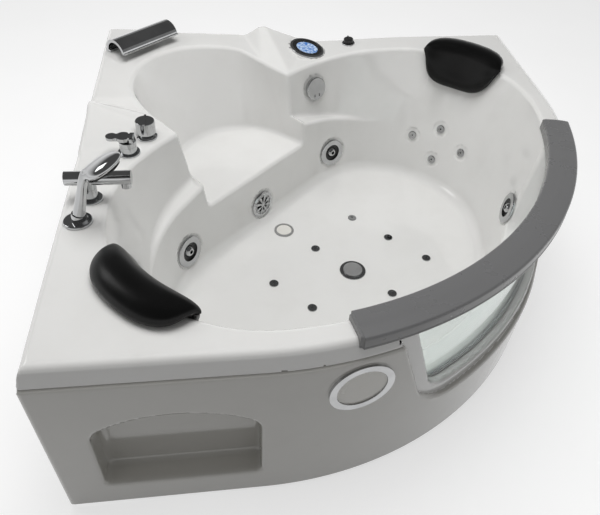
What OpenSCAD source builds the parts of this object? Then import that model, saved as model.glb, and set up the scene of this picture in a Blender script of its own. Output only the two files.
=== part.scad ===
// Corner whirlpool bath for two: acrylic shell, apron with niches, window, frame and water fittings.
// The back corner is at (-X, +Y), the curved front faces (+X, -Y), and the floor is z = 0.
// Basin, seat and front are laid out in a diagonal frame: u runs from the back corner to the front,
// v runs along the other diagonal, and the tub is alike on both sides of v = 0.

/* [Tub] */
// Length of the tub along each wall
tub_side = 1350; // [1320:5:1450]
// Height of the deck at its two free corners
deck_height = 500; // [485:5:540]
// Fall of the deck from the free corners to the seat
deck_fall = 38; // [25:1:45]
// Thickness of the acrylic shell
shell_t = 6; // [4:0.5:8]
// Radius of the curved front
front_r = 920; // [900:5:940]
// Height of the lip that hangs from the deck edge
lip_h = 42; // [34:1:48]

/* [Basin] */
// Height of the bathing floor
floor_height = 76; // [74:1:84]
// Width of the deck between the curved front and the basin
front_deck_w = 70; // [66:1:80]
// Distance of each side lobe's centre from the middle of the tub
lobe_side = 335; // [325:1:345]
// Distance of the lobe centres forward of the middle of the tub
lobe_forward = 30; // [20:1:40]
// Width of the floor as a share of the rim, along the diagonal
floor_share_u = 0.88; // [0.86:0.01:0.9]
// Width of the floor as a share of the rim, across the diagonal
floor_share_v = 0.8; // [0.78:0.01:0.82]
// Radius of the cove between floor and wall
cove_r = 26; // [16:1:30]

/* [Seat and armrests] */
// Height of the corner seat
seat_height = 250; // [240:1:260]
// Half width of the seat at its front edge
seat_half_w = 220; // [212:1:226]
// Distance of the seat's round back behind the middle of the tub
seat_back_u = 351; // [340:1:356]
// Radius of the seat's round back
seat_back_r = 209; // [200:1:211]
// Recline of the seat's back, as a share of its height
seat_recline = 0.55; // [0.5:0.01:0.6]
// Height of the armrests at the seat
armrest_height = 320; // [305:1:330]
// Fall of the armrests towards the tub's sides
armrest_fall = 0.27; // [0.24:0.01:0.28]
// Height of the ridges beside the seat above the deck's low line
ridge_h = 61; // [50:1:65]

/* [Front window] */
// Height of the window's sill
sill_height = 215; // [205:1:225]
// Half width of the window at its sill
sill_half_w = 312; // [300:1:320]
// Half width of the window at its top
window_half_w = 396; // [385:1:400]
// Thickness of the window glass
glass_t = 8; // [6:1:10]
// Height of the rubber seal around the glass
seal_w = 8; // [7:0.5:10]
// Set-back of the window wall behind the tub's front edge
window_setback = 12; // [10:1:16]

/* [Rim cap] */
// Width of the grey cap over the front rim
cap_w = 74; // [72:1:80]
// Height of the cap's sides
cap_h = 32; // [28:1:34]
// Thickness of the cap
cap_t = 6; // [5:0.5:8]
// Half angle that the cap spans around the front
cap_angle = 34; // [33:0.5:35]

/* [Apron] */
// Thickness of the apron panel
apron_t = 5; // [4:0.5:6]
// Height of the apron's lower edge
apron_foot = 12; // [8:1:16]
// Gap between the apron and the deck's lip
apron_gap = 3; // [2:0.5:5]
// Width of each towel niche
niche_w = 330; // [300:5:340]
// Height of the niche at its crown
niche_h = 256; // [230:2:262]
// Depth of the niche
niche_depth = 57; // [50:1:60]
// Radius of each round lamp
lamp_r = 70; // [60:1:74]

/* [Pillows] */
// Length that the pillow hangs down the wall
pillow_drop = 94; // [86:1:102]
// Height of the pillow's crest over the deck
pillow_crest = 47; // [40:1:52]
// Half angle of the rim that a pillow spans
pillow_half_angle = 22; // [20:0.5:24]

/* [Jets] */
// Radius of a large jet's chrome ring
jet_ring_r = 47; // [44:1:50]
// Radius of a large jet's body where it passes the wall
jet_neck_r = 34; // [32:1:36]
// Radius of a large jet's ball
jet_ball_r = 17; // [15:0.5:18]
// Radius of a back jet's ring
back_jet_r = 14; // [12:0.5:16]
// Radius of a floor air jet
air_jet_r = 14; // [12:0.5:16]
// Spacing of the floor air jets along the diagonal
air_pitch_u = 143; // [130:1:150]
// Spacing of the floor air jets across the diagonal
air_pitch_v = 198; // [180:1:205]
// Radius of the suction grille
grille_r = 44.5; // [42:0.5:47]
// Radius of the underwater light
light_r = 31; // [28:0.5:34]

/* [Waste] */
// Radius of the waste flange
waste_flange_r = 39.5; // [38:0.5:42]
// Radius of the waste plug
plug_r = 28.5; // [27:0.5:30]
// Lift of the waste plug
plug_lift = 8; // [5:1:10]
// Radius of the waste outlet pipe
waste_pipe_r = 20; // [18:0.5:21]
// Radius of the overflow knob
overflow_r = 37; // [34:0.5:40]

/* [Taps] */
// Radius of the tap's deck flanges
tap_flange_r = 28; // [26:0.5:31]
// Height of the filler spout over the deck
spout_h = 56; // [50:1:62]
// Radius of the filler spout
spout_r = 16; // [14:0.5:18]
// Length of the filler spout
spout_len = 142; // [130:1:150]
// Radius of the hand shower's stem
stem_r = 11; // [9:0.5:12]
// Height of the hand shower's bend over the deck
stem_h = 118; // [105:1:125]
// Radius of the half-inch water inlets
inlet_r = 10.5; // [10:0.5:11]
// Half width of the waterfall spout
waterfall_half_w = 105; // [85:1:110]
// Height of the waterfall spout
waterfall_h = 46; // [40:1:50]

/* [Frame and machinery] */
// Side of the square frame tube
tube_w = 30; // [28:1:32]
// Wall of the frame tube
tube_t = 2; // [1.5:0.5:3]
// Height of the frame's underside
frame_height = 20; // [18:0.5:20]
// Radius of a levelling foot's pad
foot_r = 22; // [18:1:26]
// Radius of a levelling foot's stud
stud_r = 6; // [5:0.5:7]
// Travel of a levelling foot
foot_travel = 12; // [8:1:14]
// Radius of the pump's motor
motor_r = 62; // [56:1:64]
// Length of the pump's motor
motor_len = 190; // [170:5:210]
// Radius of the blower's casing
blower_r = 72; // [66:1:76]

/* [Clearances] */
// Gap between a fitting's body and the hole that it passes through
hole_gap = 0.5; // [0.3:0.1:1]
// Gap between a moving piece and what it moves in
run_gap = 0.3; // [0.2:0.05:0.4]
// Gap between a shaft and its bearing
shaft_gap = 0.05; // [0.02:0.01:0.08]

/* [Hidden] */
$fn = 64;
eps = 1;
half = tub_side/2;
diag_half = half*sqrt(2);
front_u = -(front_r - half)*sqrt(2);
deck_top = deck_height + 60;

// Deck heights along a wall side, from the back corner to the free corner
ridge_x = -182;
seat_line_x = -101;
deck_line = [
    [-half, deck_height - deck_fall + 33],
    [-247, deck_height - deck_fall + 24],
    [ridge_x, deck_height - deck_fall + 8],
    [seat_line_x, deck_height - deck_fall - 1],
    [0, deck_height - deck_fall],
    [0.46*half, deck_height - 0.37*deck_fall],
    [half, deck_height]];
function deck_z(x, y) = lookup(x + y >= 0 ? x : -y, deck_line);
// Diagonal to wall-side coordinates
function xy(u, v) = [(u + v)/sqrt(2), (v - u)/sqrt(2)];
function deck_uv(u, v) = deck_z(xy(u, v).x, xy(u, v).y);

// Basin: the front arc and the two side lobes meet in tangency
rim_r = front_r - front_deck_w;
lobe_r = rim_r - norm([lobe_forward - front_u, lobe_side]);
lobe_tangent = atan2(lobe_side, lobe_forward - front_u);
rim_back_u = lobe_forward - lobe_r;
taper_u = 28;
basin_depth = deck_height - floor_height;
function level(z) = (z - floor_height)/basin_depth;
function share_u(z) = floor_share_u + (1 - floor_share_u)*level(z);
function share_v(z) = floor_share_v + (1 - floor_share_v)*level(z);
// A point of the basin wall from its plan point on the rim, its height and its growth outwards
function taper(p, z, grow = 0) = [
    taper_u + share_u(z)*(p.x - taper_u) + grow*sign(p.x - taper_u)*min(1, abs(p.x - taper_u)/200),
    share_v(z)*p.y + grow*sign(p.y)*min(1, abs(p.y)/200), z];
function lobe_point(a, g = 0) = [lobe_forward + (lobe_r + g)*cos(a), lobe_side + (lobe_r + g)*sin(a)];
function front_point(a, g = 0) = [front_u + (rim_r + g)*cos(a), (rim_r + g)*sin(a)];
function mirrored(list) = [for (i = [len(list) - 1:-1:0]) [list[i].x, -list[i].y]];
lobe_steps = 14;
front_steps = 8;
function rim_half(g) = concat(
    [for (i = [0:front_steps - 1]) front_point(lobe_tangent*(i + 0.5)/front_steps, g)],
    [for (i = [0:lobe_steps]) lobe_point(lobe_tangent + (180 - lobe_tangent)*i/lobe_steps, g)]);
function rim_outline(g) = concat(rim_half(g), mirrored(rim_half(g)));
// One ring of the basin at height z: shrink is the cove's share taken off the wall
function basin_ring(z, g, shrink = 0) =
    [for (p = rim_outline(g)) let (q = taper(p, max(z, floor_height)))
        [taper_u + (q.x - taper_u)*(1 - shrink/400), q.y*(1 - shrink/560), z]];

// Loft through rings that hold the same number of points, counter-clockwise seen from above.
// With strips, each end is closed between the ring's two halves, for a bent section.
module loft(rings, strips = false) {
    n = len(rings[0]);
    m = len(rings);
    z = (m - 1)*n;
    polyhedron(
        points = [for (r = rings) each r],
        faces = concat(
            strips ? [for (i = [0:n/2 - 2]) each [[i, i + 1, n - 2 - i], [i, n - 2 - i, n - 1 - i]]]
                : [[for (i = [0:n - 1]) i]],
            [for (k = [0:m - 2], i = [0:n - 1]) let (j = (i + 1)%n) each [
                [k*n + i, (k + 1)*n + i, k*n + j],
                [k*n + j, (k + 1)*n + i, (k + 1)*n + j]]],
            strips ? [for (i = [0:n/2 - 2]) let (a = z + n - 1 - i, b = z + i)
                each [[a, a - 1, b + 1], [a, b + 1, b]]]
                : [[for (i = [n - 1:-1:0]) z + i]]),
        convexity = 6);
}

module diagonal() rotate([0, 0, -45]) children();
module both_wings() {
    children();
    mirror([1, 1, 0]) children();
}
module both_sides() {
    children();
    mirror([0, 1, 0]) children();
}

// Plan of the tub, drawn in by inset
module plan(inset = 0) {
    c = front_r - half;
    intersection() {
        square(2*(half - inset), center = true);
        union() {
            translate([-c, c]) circle(front_r - inset, $fn = 180);
            translate([-half, -half]) square([half - c, 2*half]);
            translate([-half, c]) square([2*half, half - c]);
        }
    }
}

// Body of the basin: inner void for g = 0, and the shell's outer side for g = shell_t
module basin(g) {
    loft([
        basin_ring(floor_height - g, g, 0.9*cove_r),
        basin_ring(floor_height - g + 0.3*cove_r, g, 0.25*cove_r),
        basin_ring(floor_height - g + cove_r, g),
        basin_ring(deck_height, g),
        basin_ring(deck_top, g)]);
}

seat_side_slope = 0.085;
seat_front_u = -200;
function seat_ring(z, g) = let (
    c = -seat_back_u - seat_recline*(z - seat_height),
    r = seat_back_r + 0.1*seat_recline*(z - seat_height) + g,
    w = seat_half_w + seat_side_slope*(z - seat_height) + g)
    concat(
        [[seat_front_u, w, z]],
        [for (i = [0:18]) [c + r*cos(90 + 10*i), r*sin(90 + 10*i), z]],
        [[seat_front_u, -w, z]]);
module seat_recess(g) loft([seat_ring(seat_height - g, g), seat_ring(deck_top, g)]);

// Upper basin over each armrest, between two arcs at the armrest and at the deck
arm_steps = 8;
arm_in_v = seat_half_w + seat_side_slope*(armrest_height - seat_height) + 1;
function arm_z(v) = armrest_height - armrest_fall*(v - arm_in_v);
function arm_low(t, g) = let (a = 182.3 - 51.9*t)
    [-seat_back_u + 301 + (298 + g)*cos(a), arm_in_v + 13 + (298 + g)*sin(a)];
function arm_high(t, g) = let (a = 180.4 - 62*t)
    [-seat_back_u + 415 + (445 + g)*cos(a), arm_in_v + 15 + (445 + g)*sin(a)];
arm_inner_u = -100;
function arm_ring_low(g) = concat(
    [for (i = [0:arm_steps]) let (p = arm_low(1 - i/arm_steps, g)) [p.x, p.y, arm_z(p.y) - g]],
    [[arm_inner_u, arm_low(0, 0).y - g, arm_z(arm_low(0, 0).y - g) - g],
     [arm_inner_u, arm_low(1, g).y, arm_z(arm_low(1, g).y) - g]]);
function arm_ring_high(z, g) = concat(
    [for (i = [0:arm_steps]) let (p = arm_high(1 - i/arm_steps, g)) [p.x, p.y, z]],
    [[arm_inner_u, arm_high(0, 0).y - g, z], [arm_inner_u, arm_high(1, g).y, z]]);
arm_ref_z = deck_height - 20;
module arm_recess(g) loft([arm_ring_low(g), arm_ring_high(arm_ref_z, g), arm_ring_high(deck_top, g)]);
// A place on the wall over the armrest: t along it, h its share of the wall's height
function arm_point(t, h) = let (a = arm_low(t, 0), b = arm_high(t, 0), z = arm_z(a.y))
    [a.x + h*(b.x - a.x), a.y + h*(b.y - a.y), z + h*(arm_ref_z - z)];

// Places on the basin wall: kind "lobe" or "front", angle, height and side
function wall_base(kind, a) = kind == "front" ? front_point(a) : lobe_point(a);
function wall_point(kind, a, z, side) = let (p = taper(wall_base(kind, a), z)) [p.x, side*p.y, z];
function unit(v) = v/norm(v);
function inward(n, p) = n*([taper_u, 0, deck_height] - p) > 0 ? unit(n) : -unit(n);
function wall_normal(kind, a, z, side) = let (
    p = wall_point(kind, a, z, side),
    along = wall_point(kind, a + 0.5, z, side) - wall_point(kind, a - 0.5, z, side),
    up = wall_point(kind, a, z + 5, side) - wall_point(kind, a, z - 5, side))
    inward(cross(along, up), p);
// Puts a fitting on a place, its +Z pointing out of the surface
module on_place(p, n) translate(p) rotate([0, acos(n.z), atan2(n.y, n.x)]) children();
module on_wall(w) on_place(wall_point(w[0], w[1], w[2], w[3]), wall_normal(w[0], w[1], w[2], w[3]))
    children();

big_jets = [["lobe", 173, 150, -1], ["lobe", 165, 158, 1], ["front", 28.7, 262, 1], ["front", 28.7, 262, -1]];
jet_swing = 12;
back_jets = [for (s = [1, -1], q = [[110, 215], [94, 262], [93, 156], [76, 222]]) ["lobe", q[0], q[1], s]];
grille_z = 134;
grille_p = [taper_u + share_u(grille_z)*(rim_back_u - taper_u), 0, grille_z];
grille_n = unit([1, 0, -(1 - floor_share_u)/basin_depth*(rim_back_u - taper_u)]);
overflow_p = arm_point(0.28, 0.47);
overflow_n = inward(cross(arm_point(0.32, 0.47) - arm_point(0.24, 0.47),
    arm_point(0.28, 0.57) - arm_point(0.28, 0.37)), overflow_p);
waste_u = 84;
light_u = -187;
air_jets = [for (i = [-1:1], j = [-1:1]) if (i != 0 || j != 0) [waste_u + i*air_pitch_u, j*air_pitch_v]];
land_margin = 6;
land_depth = 14;

// Flat round land for a fitting, on the shell's outer side and cut clear on its inner side
module land_fill(r) translate([0, 0, -land_depth]) cylinder(h = land_depth, r = r + land_margin);
module land_cut(r) cylinder(h = land_depth, r = r + land_margin);

// Deck fittings stand on level or tilted places: plan position in wall-side coordinates
panel_r = 58;
panel_at = [-28, 592];
panel_z = deck_height - deck_fall + 5;
panel_n = unit([0.165, -0.07, 1]);
air_knob_at = [118, 628];
shower_at = [-622, -269];
spout_at = [-609, -183];
mixer_at = [-545, 17];
diverter_at = [-507, 91];
tap_hole_r = 15;
panel_hole_r = 50;
air_hole_r = 14;
function deck_place(q) = [q.x, q.y, deck_z(q.x, q.y)];
function deck_slope(t) = (lookup(t + 5, deck_line) - lookup(t - 5, deck_line))/10;
function deck_normal(q) = q.x + q.y < 0 ? unit([0, deck_slope(-q.y), 1]) : unit([-deck_slope(q.x), 0, 1]);
module on_deck(q) on_place(deck_place(q), deck_normal(q))
    rotate([0, 0, -atan2(deck_normal(q).y, deck_normal(q).x)])
    children();
pad_half = 114;
pad_front_u = -757;
pad_h = 5;
pad_z = deck_z(-half, half) + pad_h;
waterfall_u = -800;
waterfall_inlet_r = 11;

// Ridges beside the seat, and the deck's whole surface as one sheet over a base
ridge_top = deck_height - deck_fall + ridge_h;
deck_over = 35;
deck_far = half + deck_over;
ridge_front_y = half - 174;
ridge_foot_y = half - 237;
module deck_sheet(base) {
    d = [for (i = [0:5]) let (x = i == 0 ? -deck_far : deck_line[i].x) [x, -x, deck_line[i].y]];
    back = [
        [d[1].x, deck_far, d[1].z],
        [d[2].x, ridge_front_y, d[2].z],
        [d[2].x, deck_far, ridge_top + 10],
        [d[3].x, ridge_foot_y, d[3].z],
        [d[4].x, deck_far, d[4].z],
        [d[5].x, deck_far, d[5].z],
        [deck_far, deck_far, deck_height]];
    e = [deck_far, -deck_far, deck_height];
    left = [for (p = back) [-p.y, -p.x, p.z]];
    top = concat(d, [e], back, left);
    // Top faces of the back wing, by their places in top; the left wing's are their mirror image
    wing = [[0, 1, 7], [1, 2, 8, 7], [2, 3, 10, 8], [3, 4, 11, 10], [4, 5, 12, 11], [5, 6, 13, 12],
        [7, 8, 9], [8, 10, 9], [10, 11, 9]];
    rim = [0, 7, 9, 11, 12, 13, 6, 20, 19, 18, 16, 14];
    n = len(top);
    m = len(rim);
    polyhedron(
        points = concat(top, [for (i = rim) [top[i].x, top[i].y, base]]),
        faces = concat(
            wing,
            [for (f = wing) [for (k = [len(f) - 1:-1:0]) f[k] >= 7 ? f[k] + 7 : f[k]]],
            [for (k = [0:m - 1]) let (l = (k + 1)%m) [rim[l], rim[k], n + k, n + l]],
            [[for (k = [0:m - 1]) n + (k + 6)%m]]));
}

// Solid under the deck's surface, with its plan drawn in and its top let down
module deck_block(inset, drop, base) intersection() {
    translate([0, 0, base]) linear_extrude(deck_top) plan(inset);
    translate([0, 0, -drop]) deck_sheet(base - 1);
}

// Sector of a ring around the front's centre, in the diagonal frame
module front_ring(r_in, r_out, z_low, z_high, angle) translate([front_u, 0, z_low])
    rotate([0, 0, -angle]) rotate_extrude(angle = 2*angle, $fn = 180)
        translate([r_in, 0]) square([r_out - r_in, z_high - z_low]);

window_r = front_r - window_setback;
window_skin = shell_t;
window_top = deck_height - cap_h + 6;
window_corner_r = 44;
// Outline of the window, grown by g, in the v-z plane
function window_outline(g) = let (
    lean = atan2(window_half_w - sill_half_w, window_top - sill_height),
    r = window_corner_r + g,
    cz = sill_height + window_corner_r,
    cv = sill_half_w + tan(lean)*window_corner_r - window_corner_r/cos(lean),
    side = [for (i = [0:6]) let (a = -90 + (90 - lean)*i/6) [cv + r*cos(a), cz + r*sin(a)]],
    top = [window_half_w + g/cos(lean) + tan(lean)*g, window_top + g])
    concat(side, [top], [for (i = [len(side):-1:0]) let (p = concat(side, [top])[i]) [-p.x, p.y]]);
module window_prism(g) translate([front_u + 0.7*rim_r, 0, 0]) rotate([90, 0, 90])
    linear_extrude(front_r) polygon(window_outline(g));
recess_grow = 34;

// The basin's front wall around the window, before the basin is cut out
module window_frame() {
    intersection() {
        front_ring(0.8*rim_r, window_r, 0, deck_height, cap_angle);
        window_prism(shell_t);
    }
    front_ring(window_r - window_skin, window_r, sill_height - 30, deck_height - 10, cap_angle + 0.2);
}
cap_out_r = front_r - 3;
cap_in_r = cap_out_r - cap_w;
cap_rise = 14;
cap_skirt_z = deck_height + cap_rise - cap_h;
cap_seat_z = deck_height + cap_rise - cap_t;

module shell_fill() {
    difference() {
        deck_block(0, 0, deck_height - lip_h);
        deck_block(shell_t, shell_t, 0);
    }
    diagonal() {
        intersection() {
            union() {
                basin(shell_t);
                seat_recess(shell_t);
                both_sides() arm_recess(shell_t);
                for (w = concat(big_jets, back_jets))
                    on_wall(w)
                        land_fill(w[0] == "front" || w[2] < 200 && w[1] > 120 ? jet_ring_r : back_jet_r);
                on_place(grille_p, grille_n) land_fill(grille_r);
                on_place(overflow_p, overflow_n) land_fill(overflow_r);
                window_frame();
            }
            rotate([0, 0, 45]) deck_block(0, 0, 0);
        }
        // Stiff band that the cap is seated on
        front_ring(rim_r - 4, window_r, deck_height - 20, cap_seat_z, cap_angle);
    }
    on_place([panel_at.x, panel_at.y, panel_z], panel_n) land_fill(panel_r);
    // Raised pad for the waterfall spout, and level lands for the taps
    diagonal() intersection() {
        translate([-diag_half, -pad_half, pad_z - pad_h - 8])
            cube([diag_half + pad_front_u, 2*pad_half, pad_h + 8]);
        rotate([0, 0, 45]) linear_extrude(deck_top) plan(12);
    }
}

module shell_holes() {
    diagonal() {
        basin(0);
        seat_recess(0);
        both_sides() arm_recess(0);
        window_prism(0);
        for (w = big_jets) on_wall(w) {
            land_cut(jet_ring_r);
            translate([0, 0, -40]) cylinder(h = 50, r = jet_neck_r + hole_gap);
        }
        for (w = back_jets) on_wall(w) {
            land_cut(back_jet_r);
            translate([0, 0, -40]) cylinder(h = 50, r = 0.65*back_jet_r + hole_gap);
        }
        on_place(grille_p, grille_n) {
            land_cut(grille_r);
            translate([0, 0, -40]) cylinder(h = 50, r = 0.66*grille_r + hole_gap);
        }
        on_place(overflow_p, overflow_n) {
            land_cut(overflow_r);
            translate([0, 0, -40]) cylinder(h = 50, r = 0.6*overflow_r + hole_gap);
        }
        for (q = air_jets) translate([q.x, q.y, floor_height - 20])
            cylinder(h = 40, r = 0.57*air_jet_r + hole_gap);
        translate([waste_u, 0, floor_height - 20]) cylinder(h = 40, r = 0.62*waste_flange_r + hole_gap);
        translate([light_u, 0, floor_height - 20]) cylinder(h = 40, r = 0.84*light_r + hole_gap);
        translate([waterfall_u, 0, pad_z - 30]) cylinder(h = 60, r = waterfall_inlet_r + hole_gap);
        // Room for the cap's two skirts
        front_ring(cap_out_r - cap_t - run_gap, front_r + 5, cap_skirt_z - 2, deck_top, cap_angle + 0.3);
        front_ring(cap_in_r - 1, cap_in_r + cap_t + run_gap, cap_skirt_z - 2, deck_top, cap_angle + 0.3);
        // The lip stops at the window
        intersection() {
            front_ring((window_r + front_r - shell_t)/2, front_r + 5, 0, cap_skirt_z, cap_angle + 10);
            window_prism(recess_grow);
        }
    }
    for (q = [shower_at, spout_at, mixer_at, diverter_at]) on_deck(q) {
        translate([0, 0, -30]) cylinder(h = 60, r = tap_hole_r);
        translate([0, 0, 0.02]) cylinder(h = 30, r = tap_flange_r + 4);
    }
    diagonal() for (side = [1, -1]) on_lamp(side)
        translate([0, 0, -16]) cylinder(h = 40, r = 0.86*lamp_r + 1);
    on_deck(air_knob_at) translate([0, 0, -30]) cylinder(h = 60, r = air_hole_r);
    on_place([panel_at.x, panel_at.y, panel_z], panel_n) {
        translate([0, 0, -30]) cylinder(h = 60, r = panel_hole_r + hole_gap);
        cylinder(h = 30, r = panel_r + 2);
    }
}

module tub_shell() color("whitesmoke") difference() {
    shell_fill();
    shell_holes();
}

// Runs of pipe through a list of points, with a fitting at each bend
module rod(a, b, r) {
    d = b - a;
    translate(a) rotate([0, acos(d.z/norm(d)), atan2(d.y, d.x)]) cylinder(h = norm(d), r = r);
}
module run(points, r) {
    for (i = [0:len(points) - 2]) rod(points[i], points[i + 1], r);
    for (i = [1:len(points) - 2]) translate(points[i]) sphere(r + 2);
}
module ring(r_out, r_in, z_low, z_high) translate([0, 0, z_low]) difference() {
    cylinder(h = z_high - z_low, r = r_out);
    translate([0, 0, -eps]) cylinder(h = z_high - z_low + 2*eps, r = r_in);
}
// Disc with a rounded upper edge
module dome_disc(r, h, edge) rotate_extrude() difference() {
    square([r, h]);
    translate([r - edge, h - edge]) difference() {
        square(edge + eps);
        circle(edge);
    }
}

// Apron around the open front, with a return along its top, a recess at the window and two niches
apron_top = deck_height - lip_h - apron_gap;
apron_flange = 14;
niche_gap = 0.5;
niche_wall = 3;
niche_floor = apron_foot + 76;
niche_centre = -half + 257;
niche_spring = niche_h - 55;
function niche_outline(g) = let (
    w = niche_w/2 + g,
    rise = niche_h - niche_spring,
    r = (niche_w*niche_w/4 + rise*rise)/(2*rise),
    a = asin(niche_w/2/r))
    concat([[-w, -g], [w, -g]],
        [for (i = [0:12]) let (b = a - 2*a*i/12) [(r + g)*sin(b), niche_h - r + (r + g)*cos(b)]]);
module niche_prism(g, depth) translate([niche_centre, -half + depth, niche_floor]) rotate([90, 0, 0])
    linear_extrude(depth + 2) polygon(niche_outline(g));
lamp_angle = 33;
lamp_z = deck_height - 138;
lamp_sag = lamp_r*lamp_r/(2*front_r);
module on_lamp(side) translate([front_u, 0, lamp_z]) rotate([0, 0, side*lamp_angle])
    translate([front_r - lamp_sag, 0, 0]) rotate([0, 90, 0]) children();
module open_sides(inset) {
    plan(inset);
    translate([-2*shell_t, 0]) plan(inset);
    translate([0, 2*shell_t]) plan(inset);
    translate([-2*shell_t, 2*shell_t]) plan(inset);
}
module apron() color("white") difference() {
    translate([0, 0, apron_foot]) linear_extrude(apron_top - apron_foot) plan(0);
    translate([0, 0, apron_foot - eps])
        linear_extrude(apron_top - apron_foot - apron_t + eps) open_sides(apron_t);
    translate([0, 0, apron_top - apron_t - eps]) linear_extrude(apron_t + 2*eps) open_sides(apron_flange);
    diagonal() {
        window_prism(recess_grow);
        front_ring(0.8*rim_r, window_r + 0.3, sill_height - 31, deck_height, cap_angle + 0.6);
        for (side = [1, -1]) on_lamp(side) {
            translate([0, 0, -30]) cylinder(h = 60, r = 0.86*lamp_r + niche_gap);
            cylinder(h = 30, r = lamp_r + niche_gap);
        }
    }
    both_wings() niche_prism(niche_wall + niche_gap, 2*apron_t);
}
module towel_niches() color("gainsboro") both_wings() difference() {
    niche_prism(niche_wall, niche_depth);
    translate([0, -niche_wall, 0]) niche_prism(0, niche_depth);
    translate([niche_centre - niche_w, -half - 10, niche_floor - 50]) cube([2*niche_w, 10, niche_h + 100]);
    for (i = [-1, 1], k = [0.2, 0.75]) translate([niche_centre + 0.38*i*niche_w, -half + niche_depth - 10,
        niche_floor + k*niche_spring]) rotate([-90, 0, 0]) cylinder(h = 20, r = 4);
}
module apron_lamp_rings() color("silver") diagonal() for (side = [1, -1]) on_lamp(side) difference() {
    union() {
        rotate_extrude() translate([0.74*lamp_r, 0]) square([0.26*lamp_r, 7]);
        translate([0, 0, -12]) cylinder(h = 13, r = 0.86*lamp_r);
    }
    translate([0, 0, -9]) cylinder(h = 30, r = 0.78*lamp_r);
}
module apron_lamp_lenses() color("white") diagonal() for (side = [1, -1]) on_lamp(side)
    translate([0, 0, -9]) cylinder(h = 13, r = 0.78*lamp_r - run_gap);

// Window glass in its rubber seal, held in the tunnel through the front wall
glass_out_r = front_r - 40;
module window_glass() color("lightcyan", 0.5) diagonal() intersection() {
    front_ring(glass_out_r - glass_t, glass_out_r, 0, deck_height, cap_angle);
    window_prism(-seal_w/2);
}
module window_seal() color("dimgray") diagonal() difference() {
    intersection() {
        front_ring(glass_out_r - glass_t - 6, glass_out_r + 6, 0, deck_height, cap_angle);
        window_prism(-run_gap);
    }
    window_prism(-seal_w);
    intersection() {
        front_ring(glass_out_r - glass_t - run_gap, glass_out_r + run_gap, 0, deck_height, cap_angle + 1);
        window_prism(run_gap - seal_w/2);
    }
}
module rim_cap() color("darkgray") diagonal() translate([front_u, 0, 0]) rotate([0, 0, -cap_angle])
    rotate_extrude(angle = 2*cap_angle, $fn = 180) polygon(let (top = deck_height + cap_rise, e = 5) concat(
        [[cap_in_r, cap_skirt_z], [cap_in_r + cap_t, cap_skirt_z], [cap_in_r + cap_t, cap_seat_z],
         [cap_out_r - cap_t, cap_seat_z], [cap_out_r - cap_t, cap_skirt_z], [cap_out_r, cap_skirt_z]],
        [for (i = [0:3]) [cap_out_r - e + e*cos(30*i), top - e + e*sin(30*i)]],
        [for (i = [3:6]) [cap_in_r + e + e*cos(30*i), top - e + e*sin(30*i)]]));

// Pillow over the rim: its base follows the deck and the wall, its face bulges away from them
pillow_gap = 3;
pillow_reach = 70;
pillow_mid = 93.5;
pillow_rows = 8;
function bow(t) = sqrt(max(0, 1 - t*t));
// Base of the pillow: q from 1 at its outer edge on the deck through 0 at the rim to -1 down the wall
function pillow_base(a, q, g) = q >= 0
    ? let (p = lobe_point(a, (pillow_reach + g)*q - g)) [p.x, p.y, deck_uv(p.x, p.y) + g]
    : let (z0 = deck_uv(lobe_point(a).x, lobe_point(a).y), z = z0 - 5 + q*(pillow_drop - 5),
        w = taper(lobe_point(a, -g), z)) w;
function pillow_swell(a, q) = let (m = lobe_point(a), out = [cos(a), sin(a), 0])
    q >= 0 ? [0, 0, pillow_crest]*bow((q - 0.15)/0.95) - 6*q*out
    : -out*34*bow((q + 0.1)/0.95) + [0, 0, pillow_crest]*max(0, 1 + 1.6*q)^1.2;
function pillow_ring(t) = let (
    a = pillow_mid + pillow_half_angle*t,
    f = 0.34 + 0.66*bow(0.985*t)^0.8,
    k = 0.9 + 0.1*bow(t),
    qs = [for (i = [-pillow_rows:pillow_rows]) i/pillow_rows])
    concat(
        [for (i = [0:2*pillow_rows]) pillow_base(a, k*qs[i], pillow_gap)],
        [for (i = [2*pillow_rows:-1:0]) let (q = k*qs[i]) pillow_base(a, q, pillow_gap + 3)
            + f*pillow_swell(a, min(1, max(-1, q)))]);
pillow_steps = 20;
module pillow() loft(
    [for (i = [0:pillow_steps]) let (t = -cos(180*i/pillow_steps)) pillow_ring(t)], strips = true);
module pillow_right() color("slategray") diagonal() pillow();
module pillow_left() color("slategray") diagonal() mirror([0, 1, 0]) pillow();

// Waterfall spout: an arched sheet with a water slot, on the pad in the back corner
arch_r = waterfall_h - 5;
arch_u = waterfall_u + 30;
arch_t = 9;
function arc_points(r, a, b) = [for (i = [0:16]) let (t = a + (b - a)*i/16) [r*cos(t), r*sin(t)]];
module arch_slab(r_out, r_in, w, back_angle, front_angle)
    translate([arch_u, w, pad_z + 5]) rotate([90, 0, 0]) linear_extrude(2*w)
        polygon(concat(arc_points(r_out, front_angle, back_angle),
            arc_points(r_in, back_angle, front_angle)));
module waterfall_spout() color("silver") diagonal() difference() {
    union() {
        arch_slab(arch_r, arch_r - arch_t, waterfall_half_w, 184, 12);
        translate([arch_u - arch_r - 3, -waterfall_half_w, pad_z]) cube([arch_t + 12, 2*waterfall_half_w, 7]);
        translate([waterfall_u, 0, pad_z - 34]) cylinder(h = 38, r = waterfall_inlet_r);
        translate([arch_u + arch_r - arch_t - 1, -waterfall_half_w, pad_z + 13])
            cube([12, 2*waterfall_half_w, 4]);
    }
    arch_slab(arch_r - 3, arch_r - 6, waterfall_half_w - 8, 176, 6);
    translate([waterfall_u, 0, pad_z - 40]) cylinder(h = 36, r = 0.6*waterfall_inlet_r);
}

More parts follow.
